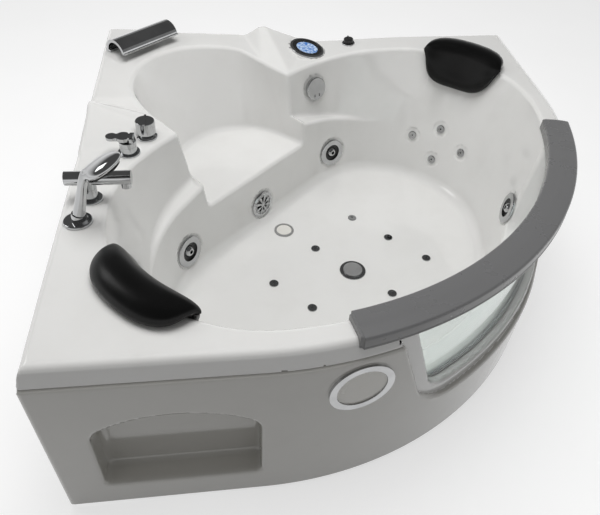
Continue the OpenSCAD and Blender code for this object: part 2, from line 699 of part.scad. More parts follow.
// Taps: each stands on the deck, its tail passing through to a nut below
tail_len = 62;
nut_h = 9;
module tail(depth = tail_len) {
    translate([0, 0, -depth]) cylinder(h = depth + 2, r = tap_hole_r - hole_gap);
    translate([0, 0, -shell_t - nut_h]) cylinder(h = nut_h, r = tap_hole_r + 7, $fn = 6);
}
stem_lean = 15.3;
socket_h = 22;
shower_pin = 30;
module on_stem() on_deck(shower_at) rotate([0, stem_lean, 0]) children();
head_lift = 32;
module on_head() on_stem() translate([0, 0, stem_h]) rotate([0, 90 - head_lift - stem_lean, 0]) children();
module hand_shower_socket() color("silver") difference() {
    union() {
        on_deck(shower_at) {
            dome_disc(tap_flange_r + 3, 7, 3);
            tail();
        }
        on_stem() translate([0, 0, 5]) cylinder(h = socket_h - 5, r = stem_r + 5);
    }
    on_stem() translate([0, 0, socket_h - shower_pin])
        cylinder(h = shower_pin + 10, r = stem_r - 3 + shaft_gap);
}
module hand_shower() color("silver") {
    on_stem() {
        translate([0, 0, socket_h - shower_pin + 2]) cylinder(h = shower_pin, r = stem_r - 3);
        translate([0, 0, socket_h + 0.5]) cylinder(h = stem_h - socket_h - 0.5, r = stem_r);
        translate([0, 0, stem_h]) sphere(stem_r);
    }
    on_head() hull($fn = 40) for (i = [0, 1]) {
        translate([-9, 0, 22 + 35*i]) rotate([0, 90, 0]) cylinder(h = 12, r = 38, $fn = 40);
        translate([-9, 0, 22 + 35*i]) rotate([0, 90, 0]) cylinder(h = 19, r = 27, $fn = 40);
    }
}
module spray_plate() color("dimgray") on_head() hull($fn = 32)
    for (k = [0, 1]) translate([10.2, 0, 30 + 27*k]) rotate([0, 90, 0]) cylinder(h = 2.5, r = 25, $fn = 32);
spindle_r = 8;
column_h = spout_h - spout_r - 8;
module spout_column() color("silver") on_deck(spout_at) {
    dome_disc(tap_flange_r, 6, 3);
    cylinder(h = column_h, r = spout_r + 2);
    cylinder(h = spout_h, r = spindle_r);
    tail();
}
module filler_spout() color("silver") on_deck(spout_at) difference() {
    union() {
        translate([0, 0, column_h + run_gap]) cylinder(h = spout_h - column_h, r = spout_r + 2);
        translate([-spout_len*0.32, 0, spout_h]) rotate([0, 90, 0]) cylinder(h = spout_len, r = spout_r);
        translate([spout_len*0.68 - 14, 0, spout_h - spout_r - 9]) cylinder(h = 20, r = 11);
    }
    translate([0, 0, -eps]) cylinder(h = spout_h + 2, r = spindle_r + shaft_gap);
    translate([spout_len*0.68 - 14, 0, 0]) cylinder(h = spout_h, r = 8);
    translate([20, 0, spout_h]) rotate([0, 90, 0]) cylinder(h = spout_len*0.68 - 34, r = 8);
}
mixer_base_h = 24;
mixer_pin_x = 12;
mixer_pin_z = 44;
mixer_r = 21;
module mixer_base() color("silver") on_deck(mixer_at) {
    dome_disc(tap_flange_r, 6, 3);
    cylinder(h = mixer_base_h, r = mixer_r);
    cylinder(h = mixer_base_h + 9, r = spindle_r);
    tail();
}
module mixer_collar() color("silver") on_deck(mixer_at) difference() {
    union() {
        translate([0, 0, mixer_base_h + run_gap]) cylinder(h = 12, r = mixer_r);
        for (i = [-1, 1]) translate([mixer_pin_x - 5, i*13.5 - 2.5, mixer_base_h + 8])
            cube([10, 5, mixer_pin_z - mixer_base_h - 3]);
        translate([mixer_pin_x, -14, mixer_pin_z]) rotate([-90, 0, 0]) cylinder(h = 28, r = 2.5);
    }
    cylinder(h = mixer_base_h + 10, r = spindle_r + shaft_gap);
}
module mixer_lever() color("silver") on_deck(mixer_at) difference() {
    union() {
        translate([mixer_pin_x, -10.5, mixer_pin_z]) rotate([-90, 0, 0]) cylinder(h = 21, r = 6);
        translate([-32, -10.5, mixer_pin_z - 3]) cube([32 + mixer_pin_x, 21, 9]);
        translate([-8, 0, mixer_pin_z - 3]) intersection() {
            cylinder(h = 9, r = mixer_r - 3);
            translate([-50, -30, 0]) cube([50 + mixer_pin_x - 1, 60, 9]);
        }
        translate([-36, 0, mixer_pin_z - 1]) cylinder(h = 7, r = 14);
    }
    translate([mixer_pin_x, -30, mixer_pin_z]) rotate([-90, 0, 0]) cylinder(h = 60, r = 2.5 + shaft_gap);
}
pipe_bend = 16;
knob_low = 15;
knob_high = 49;
module diverter_base() color("silver") on_deck(diverter_at) {
    dome_disc(tap_flange_r, 6, 3);
    cylinder(h = knob_low - 1, r = 17);
    cylinder(h = knob_high - 9, r = 6);
    tail(tail_len - pipe_bend);
}
module diverter_knob() color("silver") on_deck(diverter_at) difference() {
    union() {
        translate([0, 0, knob_low]) dome_disc(tap_flange_r - 3, knob_high - knob_low, 3);
        translate([-3, -tap_flange_r + 3, knob_high - 1]) cube([6, 2*tap_flange_r - 6, 3]);
    }
    cylinder(h = knob_high - 8, r = 6 + shaft_gap);
}
// Valve block under the mixer with its two inlets, and the pipes from it to the other taps
block_z = deck_height - 120;
block_h = 40;
block_lo = [-592, -27];
block_hi = [-529, 61];
inlet_len = 22;
inlet_z = block_z + block_h/2;
inlet_y = [-5, 39];
module valve_block() color("goldenrod") difference() {
    union() {
        translate([block_lo.x, block_lo.y, block_z])
            cube([block_hi.x - block_lo.x, block_hi.y - block_lo.y, block_h]);
        for (y = inlet_y) translate([block_lo.x + 2, y, inlet_z]) rotate([0, -90, 0])
            cylinder(h = inlet_len + 2, r = inlet_r);
    }
    for (y = inlet_y) translate([block_lo.x - inlet_len - 1, y, inlet_z]) rotate([0, 90, 0])
        cylinder(h = 45, r = inlet_r - 3);
    on_deck(mixer_at) translate([0, 0, -tail_len - 0.5]) cylinder(h = tail_len, r = tap_hole_r);
}
pipe_r = 7.5;
function tail_end(q) = deck_place(q) - (tail_len + pipe_r + 0.5)*deck_normal(q);
module tap_pipes() color("peru") {
    a = [block_lo.x + 8, block_lo.y - 0.3, inlet_z];
    b = tail_end(spout_at);
    c = tail_end(shower_at);
    d = tail_end(diverter_at);
    run([a, [a.x, c.y, a.z], [c.x, c.y, a.z], c], pipe_r);
    run([[a.x, b.y, a.z], [b.x, b.y, a.z], b], pipe_r);
    e = [block_hi.x - 10, block_hi.y + 0.3, inlet_z];
    run([e, [e.x, d.y, e.z], [d.x, d.y, e.z], d + [0, 0, pipe_bend + 6]], pipe_r);
    w = [xy(waterfall_u, 0).x, xy(waterfall_u, 0).y, pad_z - 35];
    k = deck_place(diverter_at) + [-tap_hole_r, 0, -30];
    run([w, [w.x, w.y, k.z], [block_lo.x - 8, w.y, k.z], [block_lo.x - 8, k.y, k.z], k], pipe_r + 1);
}

// Control panel and air knob on the back deck
module on_panel() on_place([panel_at.x, panel_at.y, panel_z], panel_n) children();
module panel_bezel() color("silver") on_panel() difference() {
    dome_disc(panel_r, 7, 3);
    translate([0, 0, -eps]) cylinder(h = 20, r = panel_r - 9);
}
module panel_housing() color("black") on_panel() difference() {
    union() {
        translate([0, 0, -26]) cylinder(h = 26, r = panel_hole_r - 1);
        translate([0, 0, -1]) cylinder(h = 7, r = panel_r - 9 - run_gap);
        translate([0, 0, -26]) cylinder(h = 6, r = panel_hole_r - 1);
        translate([0, 0, -22]) ring(panel_r - 1, panel_hole_r - 2, 0, 5);
    }
    translate([0, 0, 2]) cylinder(h = 10, r = 0.62*panel_r);
}
module panel_display() color("steelblue") on_panel()
    translate([0, 0, 2]) cylinder(h = 3, r = 0.62*panel_r - run_gap);
air_r = 22;
module air_knob_base() color("silver") on_deck(air_knob_at) {
    dome_disc(air_r, 5, 2);
    cylinder(h = 13, r = 6);
    translate([0, 0, -40]) cylinder(h = 42, r = air_hole_r - hole_gap);
    translate([0, 0, -shell_t - 8]) cylinder(h = 8, r = air_hole_r + 6, $fn = 6);
}
module air_knob() color("black") on_deck(air_knob_at) difference() {
    union() {
        translate([0, 0, 5.5]) dome_disc(air_r - 6, 13, 3);
        translate([-2, -air_r + 7, 17]) cube([4, 2*air_r - 14, 4]);
    }
    cylinder(h = 14, r = 6 + shaft_gap);
}

// Overflow with its knob, and its pipe to the trap
module on_overflow() on_place(overflow_p, overflow_n) children();
overflow_pipe_r = 10;
overflow_shaft_r = 7;
module overflow_body() color("dimgray") diagonal() {
    on_overflow() difference() {
        union() {
            translate([0, 0, -44]) cylinder(h = 44, r = 0.6*overflow_r);
            translate([0, 0, -land_depth - 10]) cylinder(h = 9.8, r = 0.6*overflow_r + 9);
            cylinder(h = 2.5, r = overflow_r - 6);
        }
        translate([0, 0, -20]) cylinder(h = 40, r = overflow_shaft_r + shaft_gap);
    }
    p = overflow_p - 38*overflow_n;
    x = -352 - overflow_pipe_r - 20;
    run([p, [p.x, p.y, 330], [x, 330, 110], [x, 100, 110], [-305, 100, 110], [-305, 100, trap_z],
        [waste_u, 100, trap_z], [waste_u, trap_r + 0.3, trap_z]], overflow_pipe_r);
}
module overflow_knob() color("silver") diagonal() on_overflow() difference() {
    union() {
        translate([0, 0, 3]) dome_disc(overflow_r, 11, 3);
        translate([0, 0, -18]) cylinder(h = 22, r = overflow_shaft_r);
    }
    for (i = [-1, 1]) translate([17, 9*i - 2, 10]) cube([9, 4, 10]);
}

// Waste: chrome strainer body, lifting plug and trap
trap_r = 32;
trap_z = floor_height - 26.5 - waste_pipe_r;
waste_neck_r = 0.62*waste_flange_r;
waste_bore_r = waste_neck_r - 4.5;
plug_stem_r = 4;
module drain_body() color("silver") diagonal() translate([waste_u, 0, floor_height]) difference() {
    union() {
        dome_disc(waste_flange_r, 2.6, 1.2);
        translate([0, 0, -26]) cylinder(h = 27, r = waste_neck_r);
        translate([0, 0, -shell_t - 8]) cylinder(h = 7.8, r = waste_neck_r + 9);
    }
    difference() {
        translate([0, 0, -40]) cylinder(h = 60, r = waste_bore_r);
        for (a = [0, 90]) rotate([0, 0, a]) translate([-waste_neck_r, -2, -20]) cube([2*waste_neck_r, 4, 8]);
        translate([0, 0, -20]) cylinder(h = 8, r = plug_stem_r + 4);
    }
    translate([0, 0, -40]) cylinder(h = 60, r = plug_stem_r + shaft_gap);
}
module drain_plug() color("silver") diagonal() translate([waste_u, 0, floor_height]) {
    translate([0, 0, 2.9]) dome_disc(plug_r, 5, 2);
    translate([0, 0, -22]) cylinder(h = 26, r = plug_stem_r);
}
module trap() color("dimgray") diagonal() difference() {
    union() {
        translate([waste_u, 0, 13]) cylinder(h = floor_height - 26.3 - 13, r = trap_r);
        translate([waste_u, 0, trap_z]) rotate([0, 90, 0]) cylinder(h = 200, r = waste_pipe_r);
    }
    translate([waste_u, 0, 16]) cylinder(h = 80, r = waste_bore_r);
    translate([waste_u, 0, trap_z]) rotate([0, 90, 0]) cylinder(h = 210, r = waste_pipe_r - 3);
}

// Large jets: housing behind the wall, chrome ring on it, and a ball that swings in a socket
jet_back = -58;
jet_cup_r = jet_neck_r - 4;
jet_socket_r = jet_cup_r - run_gap;
ball_z = 0;
inlet_stub = 12;
// The ball turns on two pins that stand out of its sides
jet_pin_r = 2.5;
jet_pin_len = jet_ball_r + 4;
module jet_pin(reach, r) translate([0, -reach, ball_z - 5]) rotate([-90, 0, 0]) cylinder(h = 2*reach, r = r);
module jet_housings() color("whitesmoke") diagonal() for (w = big_jets) on_wall(w) difference() {
    union() {
        translate([0, 0, jet_back]) cylinder(h = -jet_back, r = jet_neck_r);
        translate([0, 0, -land_depth - 11]) cylinder(h = 10.8, r = jet_neck_r + 7);
        translate([0, 0, jet_back + 18]) rotate([0, -90, 0]) cylinder(h = jet_neck_r + 14, r = inlet_stub);
    }
    translate([0, 0, jet_back + 5]) cylinder(h = 100, r = jet_cup_r);
}
module jet_flanges() color("silver") diagonal() for (w = big_jets) on_wall(w) difference() {
    dome_disc(jet_ring_r, 6, 3);
    translate([0, 0, -eps]) cylinder(h = 20, r = jet_cup_r - 1);
}
module jet_sockets() color("black") diagonal() for (w = big_jets) on_wall(w) difference() {
    translate([0, 0, -26]) cylinder(h = 25.7, r = jet_socket_r);
    translate([0, 0, ball_z - 5]) sphere(jet_ball_r + run_gap);
    jet_pin(jet_pin_len + shaft_gap, jet_pin_r + shaft_gap);
    translate([0, 0, -60]) cylinder(h = 50, r = 0.7*jet_ball_r);
    translate([0, 0, -4]) cylinder(h = 10, r1 = jet_ball_r - 1.5, r2 = jet_ball_r + 6);
}
module jet_nozzle(i) color("silver") diagonal() on_wall(big_jets[i]) difference() {
    union() {
        translate([0, 0, ball_z - 5]) sphere(jet_ball_r);
        jet_pin(jet_pin_len, jet_pin_r);
    }
    translate([0, 0, -60]) cylinder(h = 100, r = 6);
    translate([0, 0, ball_z + jet_ball_r - 8]) cylinder(h = 10, r = 2*jet_ball_r);
}
module jet_nozzle_1() jet_nozzle(0);
module jet_nozzle_2() jet_nozzle(1);
module jet_nozzle_3() jet_nozzle(2);
module jet_nozzle_4() jet_nozzle(3);
module back_jets() color("silver") diagonal() for (w = back_jets) on_wall(w) difference() {
    union() {
        dome_disc(back_jet_r, 4, 2);
        translate([0, 0, -45]) cylinder(h = 46, r = 0.65*back_jet_r);
        translate([0, 0, -land_depth - 7]) cylinder(h = 6.8, r = 0.65*back_jet_r + 5, $fn = 6);
    }
    translate([0, 0, -50]) cylinder(h = 70, r = 0.2*back_jet_r);
    translate([0, 0, 2.5]) cylinder(h = 20, r = 0.5*back_jet_r);
}
module floor_air_jets() color("silver") diagonal()
    for (q = air_jets) translate([q.x, q.y, floor_height]) difference() {
    union() {
        dome_disc(air_jet_r, 3, 1.5);
        translate([0, 0, -13]) cylinder(h = 14, r = 0.57*air_jet_r);
        translate([0, 0, -shell_t - 5]) cylinder(h = 4.8, r = 0.57*air_jet_r + 4, $fn = 6);
    }
    translate([0, 0, -20]) cylinder(h = 30, r = 2.5);
    translate([0, 0, 2]) cylinder(h = 20, r = 0.5*air_jet_r);
}
module on_grille() on_place(grille_p, grille_n) children();
suction_back = -58;
module suction_housing() color("whitesmoke") diagonal() on_grille() difference() {
    union() {
        cylinder(h = 2, r = grille_r - 4);
        translate([0, 0, suction_back]) cylinder(h = 1 - suction_back, r = 0.66*grille_r);
        translate([0, 0, -land_depth - 11]) cylinder(h = 10.8, r = 0.66*grille_r + 9);
    }
    translate([0, 0, suction_back - 5]) cylinder(h = 100, r = 0.66*grille_r - 4);
}
module suction_grille() color("silver") diagonal() on_grille() difference() {
    translate([0, 0, 2.3]) dome_disc(grille_r, 6, 3);
    for (i = [-3:3]) translate([-0.62*grille_r*bow(i/4), 0.19*grille_r*i - 2, -10])
        cube([1.24*grille_r*bow(i/4), 4, 40]);
}
module underwater_light() color("silver") diagonal() translate([light_u, 0, floor_height]) difference() {
    union() {
        dome_disc(light_r, 4, 2);
        translate([0, 0, -24]) cylinder(h = 25, r = 0.84*light_r);
        translate([0, 0, -shell_t - 6]) cylinder(h = 5.8, r = 0.84*light_r + 8);
    }
    translate([0, 0, -10]) cylinder(h = 30, r = 0.78*light_r);
}
module light_lens() color("lightcyan") diagonal() translate([light_u, 0, floor_height - 10])
    cylinder(h = 12.5, r = 0.78*light_r - run_gap);

// Frame of square tube on five levelling feet
frame_top = frame_height + tube_w;
rail_v = 130;
side_v = 840;
rear_foot_u = -845;
front_foot_u = 490;
module beam(lo, size) translate(lo) cube(size);
module bar_u(u0, u1, v, z, g)
    beam([u0 + g, v - tube_w/2 + g, z + g], [u1 - u0 - 2*g, tube_w - 2*g, tube_w - 2*g]);
module bar_v(v0, v1, u, z, g)
    beam([u - tube_w/2 + g, v0 + g, z + g], [tube_w - 2*g, v1 - v0 - 2*g, tube_w - 2*g]);
module post(u, v, top, g) beam([u - tube_w/2 + g, v - tube_w/2 + g, frame_top + g],
    [tube_w - 2*g, tube_w - 2*g, top - frame_top - 2*g]);
side_u = -20;
function under_deck(u, v) = min([for (i = [-1, 1], k = [-1, 1])
    deck_uv(u + i*tube_w/2, v + k*tube_w/2)]) - shell_t - 1;
module frame_bars(g) {
    rear = -790;
    for (i = [-1, 1]) {
        bar_u(rear, front_foot_u + tube_w/2, i*rail_v, frame_height, g);
        bar_v(i > 0 ? rail_v + tube_w/2 : -side_v - tube_w, i > 0 ? side_v + tube_w : -rail_v - tube_w/2,
            side_u, frame_height, g);
        post(side_u, i*side_v, under_deck(side_u, i*side_v), g);
    }
    bar_v(-rail_v + tube_w/2 - 10, rail_v - tube_w/2 + 10, rear - tube_w/2, frame_height, g);
    bar_v(-rail_v + tube_w/2, rail_v - tube_w/2, front_foot_u, frame_height, g);
    bar_u(rear_foot_u - tube_w/2 - 10, rear - tube_w, 0, frame_height, g);
    post(rear_foot_u, 0, under_deck(rear_foot_u, 0), g);
}
feet = [[rear_foot_u, 0], [front_foot_u, rail_v], [front_foot_u, -rail_v],
    [side_u, side_v], [side_u, -side_v]];
module steel_frame() color("lightslategray") diagonal() difference() {
    union() {
        frame_bars(0);
        for (q = feet) translate([q.x, q.y, frame_height - 7]) cylinder(h = 8, r = stud_r + 5, $fn = 6);
    }
    frame_bars(tube_t);
    for (q = feet) translate([q.x, q.y, 0]) cylinder(h = frame_top + tube_w, r = stud_r + shaft_gap);
}
module foot(i) color("dimgray") diagonal() translate([feet[i].x, feet[i].y, 0]) {
    dome_disc(foot_r, 8, 3);
    translate([0, 0, 7]) cylinder(h = frame_top + 8, r = stud_r);
}
module foot_1() foot(0);
module foot_2() foot(1);
module foot_3() foot(2);
module foot_4() foot(3);
module foot_5() foot(4);
batten_half = 170;
board_t = 8;
module support_boards() color("burlywood") diagonal() {
    for (u = [-15, 160]) translate([u - 30, -batten_half, frame_top])
        cube([60, 2*batten_half, floor_height - shell_t - frame_top]);
    translate([0, 0, frame_top]) linear_extrude(board_t)
        polygon([[-345, -240], [-690, -240], [-780, -145], [-780, 145], [-690, 240], [-345, 240]]);
}

// Pump under the seat, its axis level with the suction
pump_z = grille_z;
pump_front_u = round(grille_p.x) - 120;
volute_r = 60;
volute_len = 66;
motor_front_u = pump_front_u - volute_len - 12;
bearing_r = 7;
module along_u(u, z, r, len) translate([u, 0, z]) rotate([0, 90, 0]) cylinder(h = len, r = r);
module pump_motor() color("dimgray") diagonal() difference() {
    union() {
        along_u(motor_front_u - motor_len, pump_z, motor_r, motor_len);
        for (k = [0.15, 0.65]) translate([motor_front_u - k*motor_len - 30, -45, frame_top + board_t])
            cube([30, 90, pump_z - motor_r - frame_top - board_t + 12]);
        translate([motor_front_u - 0.7*motor_len, -35, pump_z + motor_r - 8]) cube([70, 70, 24]);
        for (k = [1:6]) along_u(motor_front_u - k*motor_len/8, pump_z, motor_r + 3, 4);
    }
    along_u(motor_front_u - motor_len + 12, pump_z, motor_r - 14, motor_len - 24);
    along_u(motor_front_u - motor_len + 5, pump_z, bearing_r + shaft_gap, motor_len);
}
module pump_wet_end() color("black") diagonal() difference() {
    union() {
        along_u(pump_front_u - volute_len, pump_z, volute_r, volute_len);
        along_u(pump_front_u - 1, pump_z, 0.66*grille_r - 4, 24);
        translate([pump_front_u - volute_len/2, 0, pump_z]) cylinder(h = volute_r + 6, r = 18);
        along_u(motor_front_u + 0.2, pump_z, 30, 13);
    }
    along_u(pump_front_u - volute_len + 10, pump_z, volute_r - 6, volute_len - 20);
    along_u(pump_front_u - 30, pump_z, 0.66*grille_r - 8, 80);
    translate([pump_front_u - volute_len/2, 0, pump_z]) cylinder(h = volute_r + 20, r = 13);
    along_u(motor_front_u - 5, pump_z, bearing_r + shaft_gap, 60);
}
module pump_rotor() color("darkgray") diagonal() {
    along_u(motor_front_u - motor_len + 7, pump_z, bearing_r,
        pump_front_u - 20 - motor_front_u + motor_len - 7);
    along_u(motor_front_u - motor_len + 30, pump_z, motor_r - 20, motor_len - 60);
    along_u(pump_front_u - volute_len + 14, pump_z, volute_r - 12, 8);
    for (a = [0:60:300]) translate([pump_front_u - volute_len + 20, 0, pump_z]) rotate([a, 0, 0])
        translate([0, bearing_r - 1, -2]) cube([16, volute_r - 18 - bearing_r, 4]);
}
blower_u = -610;
blower_v = 160;
blower_low = frame_top + board_t;
blower_h = 92;
module blower_housing() color("dimgray") diagonal() translate([blower_u, blower_v, blower_low]) difference() {
    union() {
        cylinder(h = blower_h, r = blower_r);
        translate([0, 0, air_main_z - blower_low]) rotate([0, 90, 0]) cylinder(h = blower_r + 12, r = 16);
    }
    translate([0, 0, 10]) cylinder(h = blower_h - 16, r = blower_r - 4);
    translate([0, 0, 4]) cylinder(h = blower_h, r = 5 + shaft_gap);
    translate([blower_r - 10, 0, air_main_z - blower_low]) rotate([0, 90, 0]) cylinder(h = 40, r = 10);
    for (a = [0:45:315]) rotate([0, 0, a]) translate([30, -3, blower_h - 10]) cube([28, 6, 20]);
}
module blower_fan() color("darkgray") diagonal() translate([blower_u, blower_v, blower_low]) {
    translate([0, 0, 5]) cylinder(h = blower_h - 6, r = 5);
    translate([0, 0, 14]) cylinder(h = 4, r = blower_r - 12);
    for (a = [0:45:315]) rotate([0, 0, a]) translate([12, -1.5, 17]) cube([blower_r - 28, 3, 50]);
}
module control_box() color("gainsboro") diagonal() {
    translate([-640, -222, frame_top + board_t]) cube([190, 124, 76]);
    for (k = [0:3]) translate([-450, -205 + 28*k, frame_top + board_t + 30]) rotate([0, 90, 0])
        cylinder(h = 14, r = 8);
}

// Water from the pump to the jets and air from the blower to the floor
manifold_z = pump_z + volute_r + 24;
manifold_u = pump_front_u - volute_len/2;
air_main_z = 84;
air_low_z = floor_height - 13 - 6.5;
air_cross_u = -333;
function stub_end(w) = let (p = wall_point(w[0], w[1], w[2], w[3]), n = wall_normal(w[0], w[1], w[2], w[3]),
    th = acos(n.z), up = -[cos(th)*n.x/norm([n.x, n.y]), cos(th)*n.y/norm([n.x, n.y]), -sin(th)])
    p + n*(jet_back + 18) + up*(jet_neck_r + 14.3);
function stub_out(w) = let (n = wall_normal(w[0], w[1], w[2], w[3]), th = acos(n.z))
    -[cos(th)*n.x/norm([n.x, n.y]), cos(th)*n.y/norm([n.x, n.y]), -sin(th)];
function back_tail(w) = wall_point(w[0], w[1], w[2], w[3]) - 52*wall_normal(w[0], w[1], w[2], w[3]);
module jet_pipes() color("gainsboro") diagonal() {
    wide = half/675;
    for (side = [1, -1]) {
        side_bend = wide*[0, side*725, 0] + [0, 0, manifold_z];
        rear = big_jets[side > 0 ? 1 : 0];
        front = big_jets[side > 0 ? 2 : 3];
        rod([manifold_u, side*18.8, manifold_z], [manifold_u, side*300, manifold_z], 16);
        e = stub_end(rear);
        run([[manifold_u + 15, side*200, manifold_z], [manifold_u + 45, side*215, manifold_z],
            e + 16*stub_out(rear), e], inlet_stub);
        f = stub_end(front);
        run([[manifold_u, side*299, manifold_z], [manifold_u, side*430*wide, manifold_z],
            wide*[-260, side*640, 0] + [0, 0, manifold_z], side_bend,
            wide*[200, side*640, 0] + [0, 0, manifold_z + 20],
            wide*[300, side*560, 0] + [0, 0, manifold_z + 70],
            f + 20*stub_out(front), f], inlet_stub);
        b = [for (w = back_jets) if (w[3] == side) back_tail(w)];
        run([b[0], b[1], b[3], side_bend + [20, -side*8, 6]], 6);
        run([b[1], b[2]], 6);
        rod([air_cross_u, side*8, air_main_z], [air_cross_u, side*air_pitch_v, air_main_z], 7);
        run([[air_cross_u, side*air_pitch_v, air_main_z], [air_cross_u, side*air_pitch_v, air_low_z],
            [waste_u + air_pitch_u, side*air_pitch_v, air_low_z]], 6);
    }
    translate([manifold_u, 0, pump_z + volute_r + 6.2]) cylinder(h = manifold_z - pump_z - volute_r, r = 18);
    rod([manifold_u, -20, manifold_z], [manifold_u, 20, manifold_z], 17);
    rod([air_cross_u, -8.5, air_main_z], [air_cross_u, 8.5, air_main_z], 7);
    rod([blower_u + blower_r + 12.2, blower_v, air_main_z], [air_cross_u, blower_v, air_main_z], 10);
    for (i = [-1, 1]) rod([waste_u + i*air_pitch_u, -air_pitch_v, air_low_z],
        [waste_u + i*air_pitch_u, air_pitch_v, air_low_z], 6);
}

tub_shell();
apron();
towel_niches();
apron_lamp_rings();
apron_lamp_lenses();
window_glass();
window_seal();
rim_cap();
pillow_left();
pillow_right();
waterfall_spout();
hand_shower_socket();
hand_shower();
spray_plate();
spout_column();
filler_spout();
mixer_base();
mixer_collar();
mixer_lever();
diverter_base();
diverter_knob();
valve_block();
tap_pipes();
panel_bezel();
panel_housing();
panel_display();
air_knob_base();
air_knob();
overflow_body();
overflow_knob();
drain_body();
drain_plug();
trap();
jet_housings();
jet_flanges();
jet_sockets();
jet_nozzle_1();
jet_nozzle_2();
jet_nozzle_3();
jet_nozzle_4();
back_jets();
floor_air_jets();
suction_housing();
suction_grille();
underwater_light();
light_lens();
steel_frame();
foot_1();
foot_2();
foot_3();
foot_4();
foot_5();
support_boards();
pump_motor();
pump_wet_end();
pump_rotor();
blower_housing();
blower_fan();
control_box();
jet_pipes();
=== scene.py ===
"""Corner jetted bath for two: formed shell and apron, foam pillows and finishes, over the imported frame.

Everything is in metres. u runs along the tub's diagonal from the back corner to the window, v across it.
"""
import math

import bpy
import numpy as np
from mathutils import Matrix, Vector


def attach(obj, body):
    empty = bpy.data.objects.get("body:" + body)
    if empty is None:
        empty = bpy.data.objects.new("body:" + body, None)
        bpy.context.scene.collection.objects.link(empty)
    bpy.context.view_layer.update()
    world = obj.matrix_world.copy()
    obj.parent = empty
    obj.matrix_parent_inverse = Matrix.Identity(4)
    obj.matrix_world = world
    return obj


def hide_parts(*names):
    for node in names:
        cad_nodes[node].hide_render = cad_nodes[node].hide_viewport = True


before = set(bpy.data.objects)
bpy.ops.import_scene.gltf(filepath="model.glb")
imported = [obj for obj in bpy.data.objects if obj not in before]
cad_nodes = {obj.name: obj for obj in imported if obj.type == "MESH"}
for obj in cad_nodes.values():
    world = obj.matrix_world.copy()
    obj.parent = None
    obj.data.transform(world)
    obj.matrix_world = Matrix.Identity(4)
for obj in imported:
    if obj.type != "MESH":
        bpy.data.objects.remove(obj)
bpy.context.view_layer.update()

# Sizes of the tub
HALF = 0.675
DECK_Z = 0.5
DECK_FALL = 0.038
FLOOR_Z = 0.076
FRONT_R = 0.92
FRONT_U = -(FRONT_R - HALF) * math.sqrt(2)
RIM_R = FRONT_R - 0.07
LOBE_U, LOBE_V = 0.03, 0.335
LOBE_R = RIM_R - math.hypot(LOBE_U - FRONT_U, LOBE_V)
REAR_U = LOBE_U - LOBE_R
TAPER_U = 0.028
SHARE_U, SHARE_V = 0.88, 0.8
SHEET, APRON_SHEET = 0.005, 0.004
LIP_H, LIP_SET, LIP_DRAFT = 0.042, 0.004, 0.3
SEAT_Z, SEAT_U, SEAT_R, SEAT_HALF_W, RECLINE = 0.25, -0.351, 0.209, 0.22, 0.55
SEAT_FRONT_U, SEAT_FLARE = -0.2, 0.085
ARM_TOP_Z, ARM_LOW_Z, ARM_FALL, ARM_RISE = DECK_Z - 0.02, 0.32, 0.27, 0.07
ARM_V = SEAT_HALF_W + SEAT_FLARE * ARM_RISE + 0.001
ARM_INNER_V, ARM_FRONT_U = 0.222, -0.1
ARM_ARC, ARM_ARC_GROWTH = (-0.05, 0.013, 0.298), (0.114, 0.002, 0.147)
BACK_FLAT_U, BACK_FLAT_HALF_W = -0.757, 0.114
SILL_Z, SILL_HALF_W, WINDOW_TOP_Z, WINDOW_HALF_W, WINDOW_CORNER = 0.215, 0.312, 0.474, 0.396, 0.044
WINDOW_R, WINDOW_FROM_U = FRONT_R - 0.012, 0.25
RECESS_GROW = 0.034
SHELL_RECESS = RECESS_GROW + 0.003
CAP_OUT_R, CAP_W, CAP_ANGLE, CAP_TOP_Z, CAP_LOW_Z = FRONT_R - 0.003, 0.074, 34.0, 0.514, 0.482
CAP_SEAT_R, CAP_SEAT_ANGLE, CAP_END_R = 0.9107, 34.3, 0.006
APRON_FOOT_Z, APRON_TOP_Z, APRON_FLANGE = 0.012, DECK_Z - LIP_H - 0.003, 0.014
NICHE_X, NICHE_W, NICHE_H, NICHE_RISE, NICHE_DEPTH, NICHE_FLOOR_Z = -0.418, 0.33, 0.256, 0.055, 0.057, 0.088
LAMP_ANGLE, LAMP_Z, LAMP_HOLE_R = 33, 0.362, 0.0605
DIAGONAL = math.sqrt(2)

# Sizes of the fittings' rings and of the holes bored for their necks
JET_RING_R, BACK_JET_RING_R, GRILLE_R, OVERFLOW_RING_R = 0.047, 0.020, 0.0445, 0.037
JET_NECK_R, BACK_JET_NECK_R, AIR_JET_NECK_R, GRILLE_NECK_R = 0.034, 0.0096, 0.0085, 0.0298
OVERFLOW_NECK_R, WASTE_NECK_R, LIGHT_NECK_R = 0.0227, 0.025, 0.0265
FLAT_MARGIN, FLAT_REACH = 0.004, 0.03
PANEL_BOSS_R, PANEL_BOSS_DEPTH, PANEL_FACE_R = 0.064, 0.016, 0.060


def to_uv(x, y):
    """Wall-side coordinates to the diagonal frame."""
    return (x - y) / DIAGONAL, (x + y) / DIAGONAL


def to_xyz(u, v, z):
    """A place in the diagonal frame as a place in the row frame."""
    return np.array([(u + v) / DIAGONAL, (v - u) / DIAGONAL, z])


def unit(n):
    """A direction at length one."""
    return np.array(n, float) / np.linalg.norm(n)


# Signed distances are negative in air. Corners are rounded as they meet, and a factor below one keeps the
# distance from a leaning wall from being overstated.
def both(a, b, r):
    """Where both regions hold, the corner between them rounded by r."""
    return np.minimum(np.maximum(a, b), -r) + np.hypot(np.maximum(a + r, 0), np.maximum(b + r, 0))


def either(a, b, r):
    """Where either region holds, the edge between them rounded by r."""
    return np.maximum(np.minimum(a, b), r) - np.hypot(np.maximum(r - a, 0), np.maximum(r - b, 0))


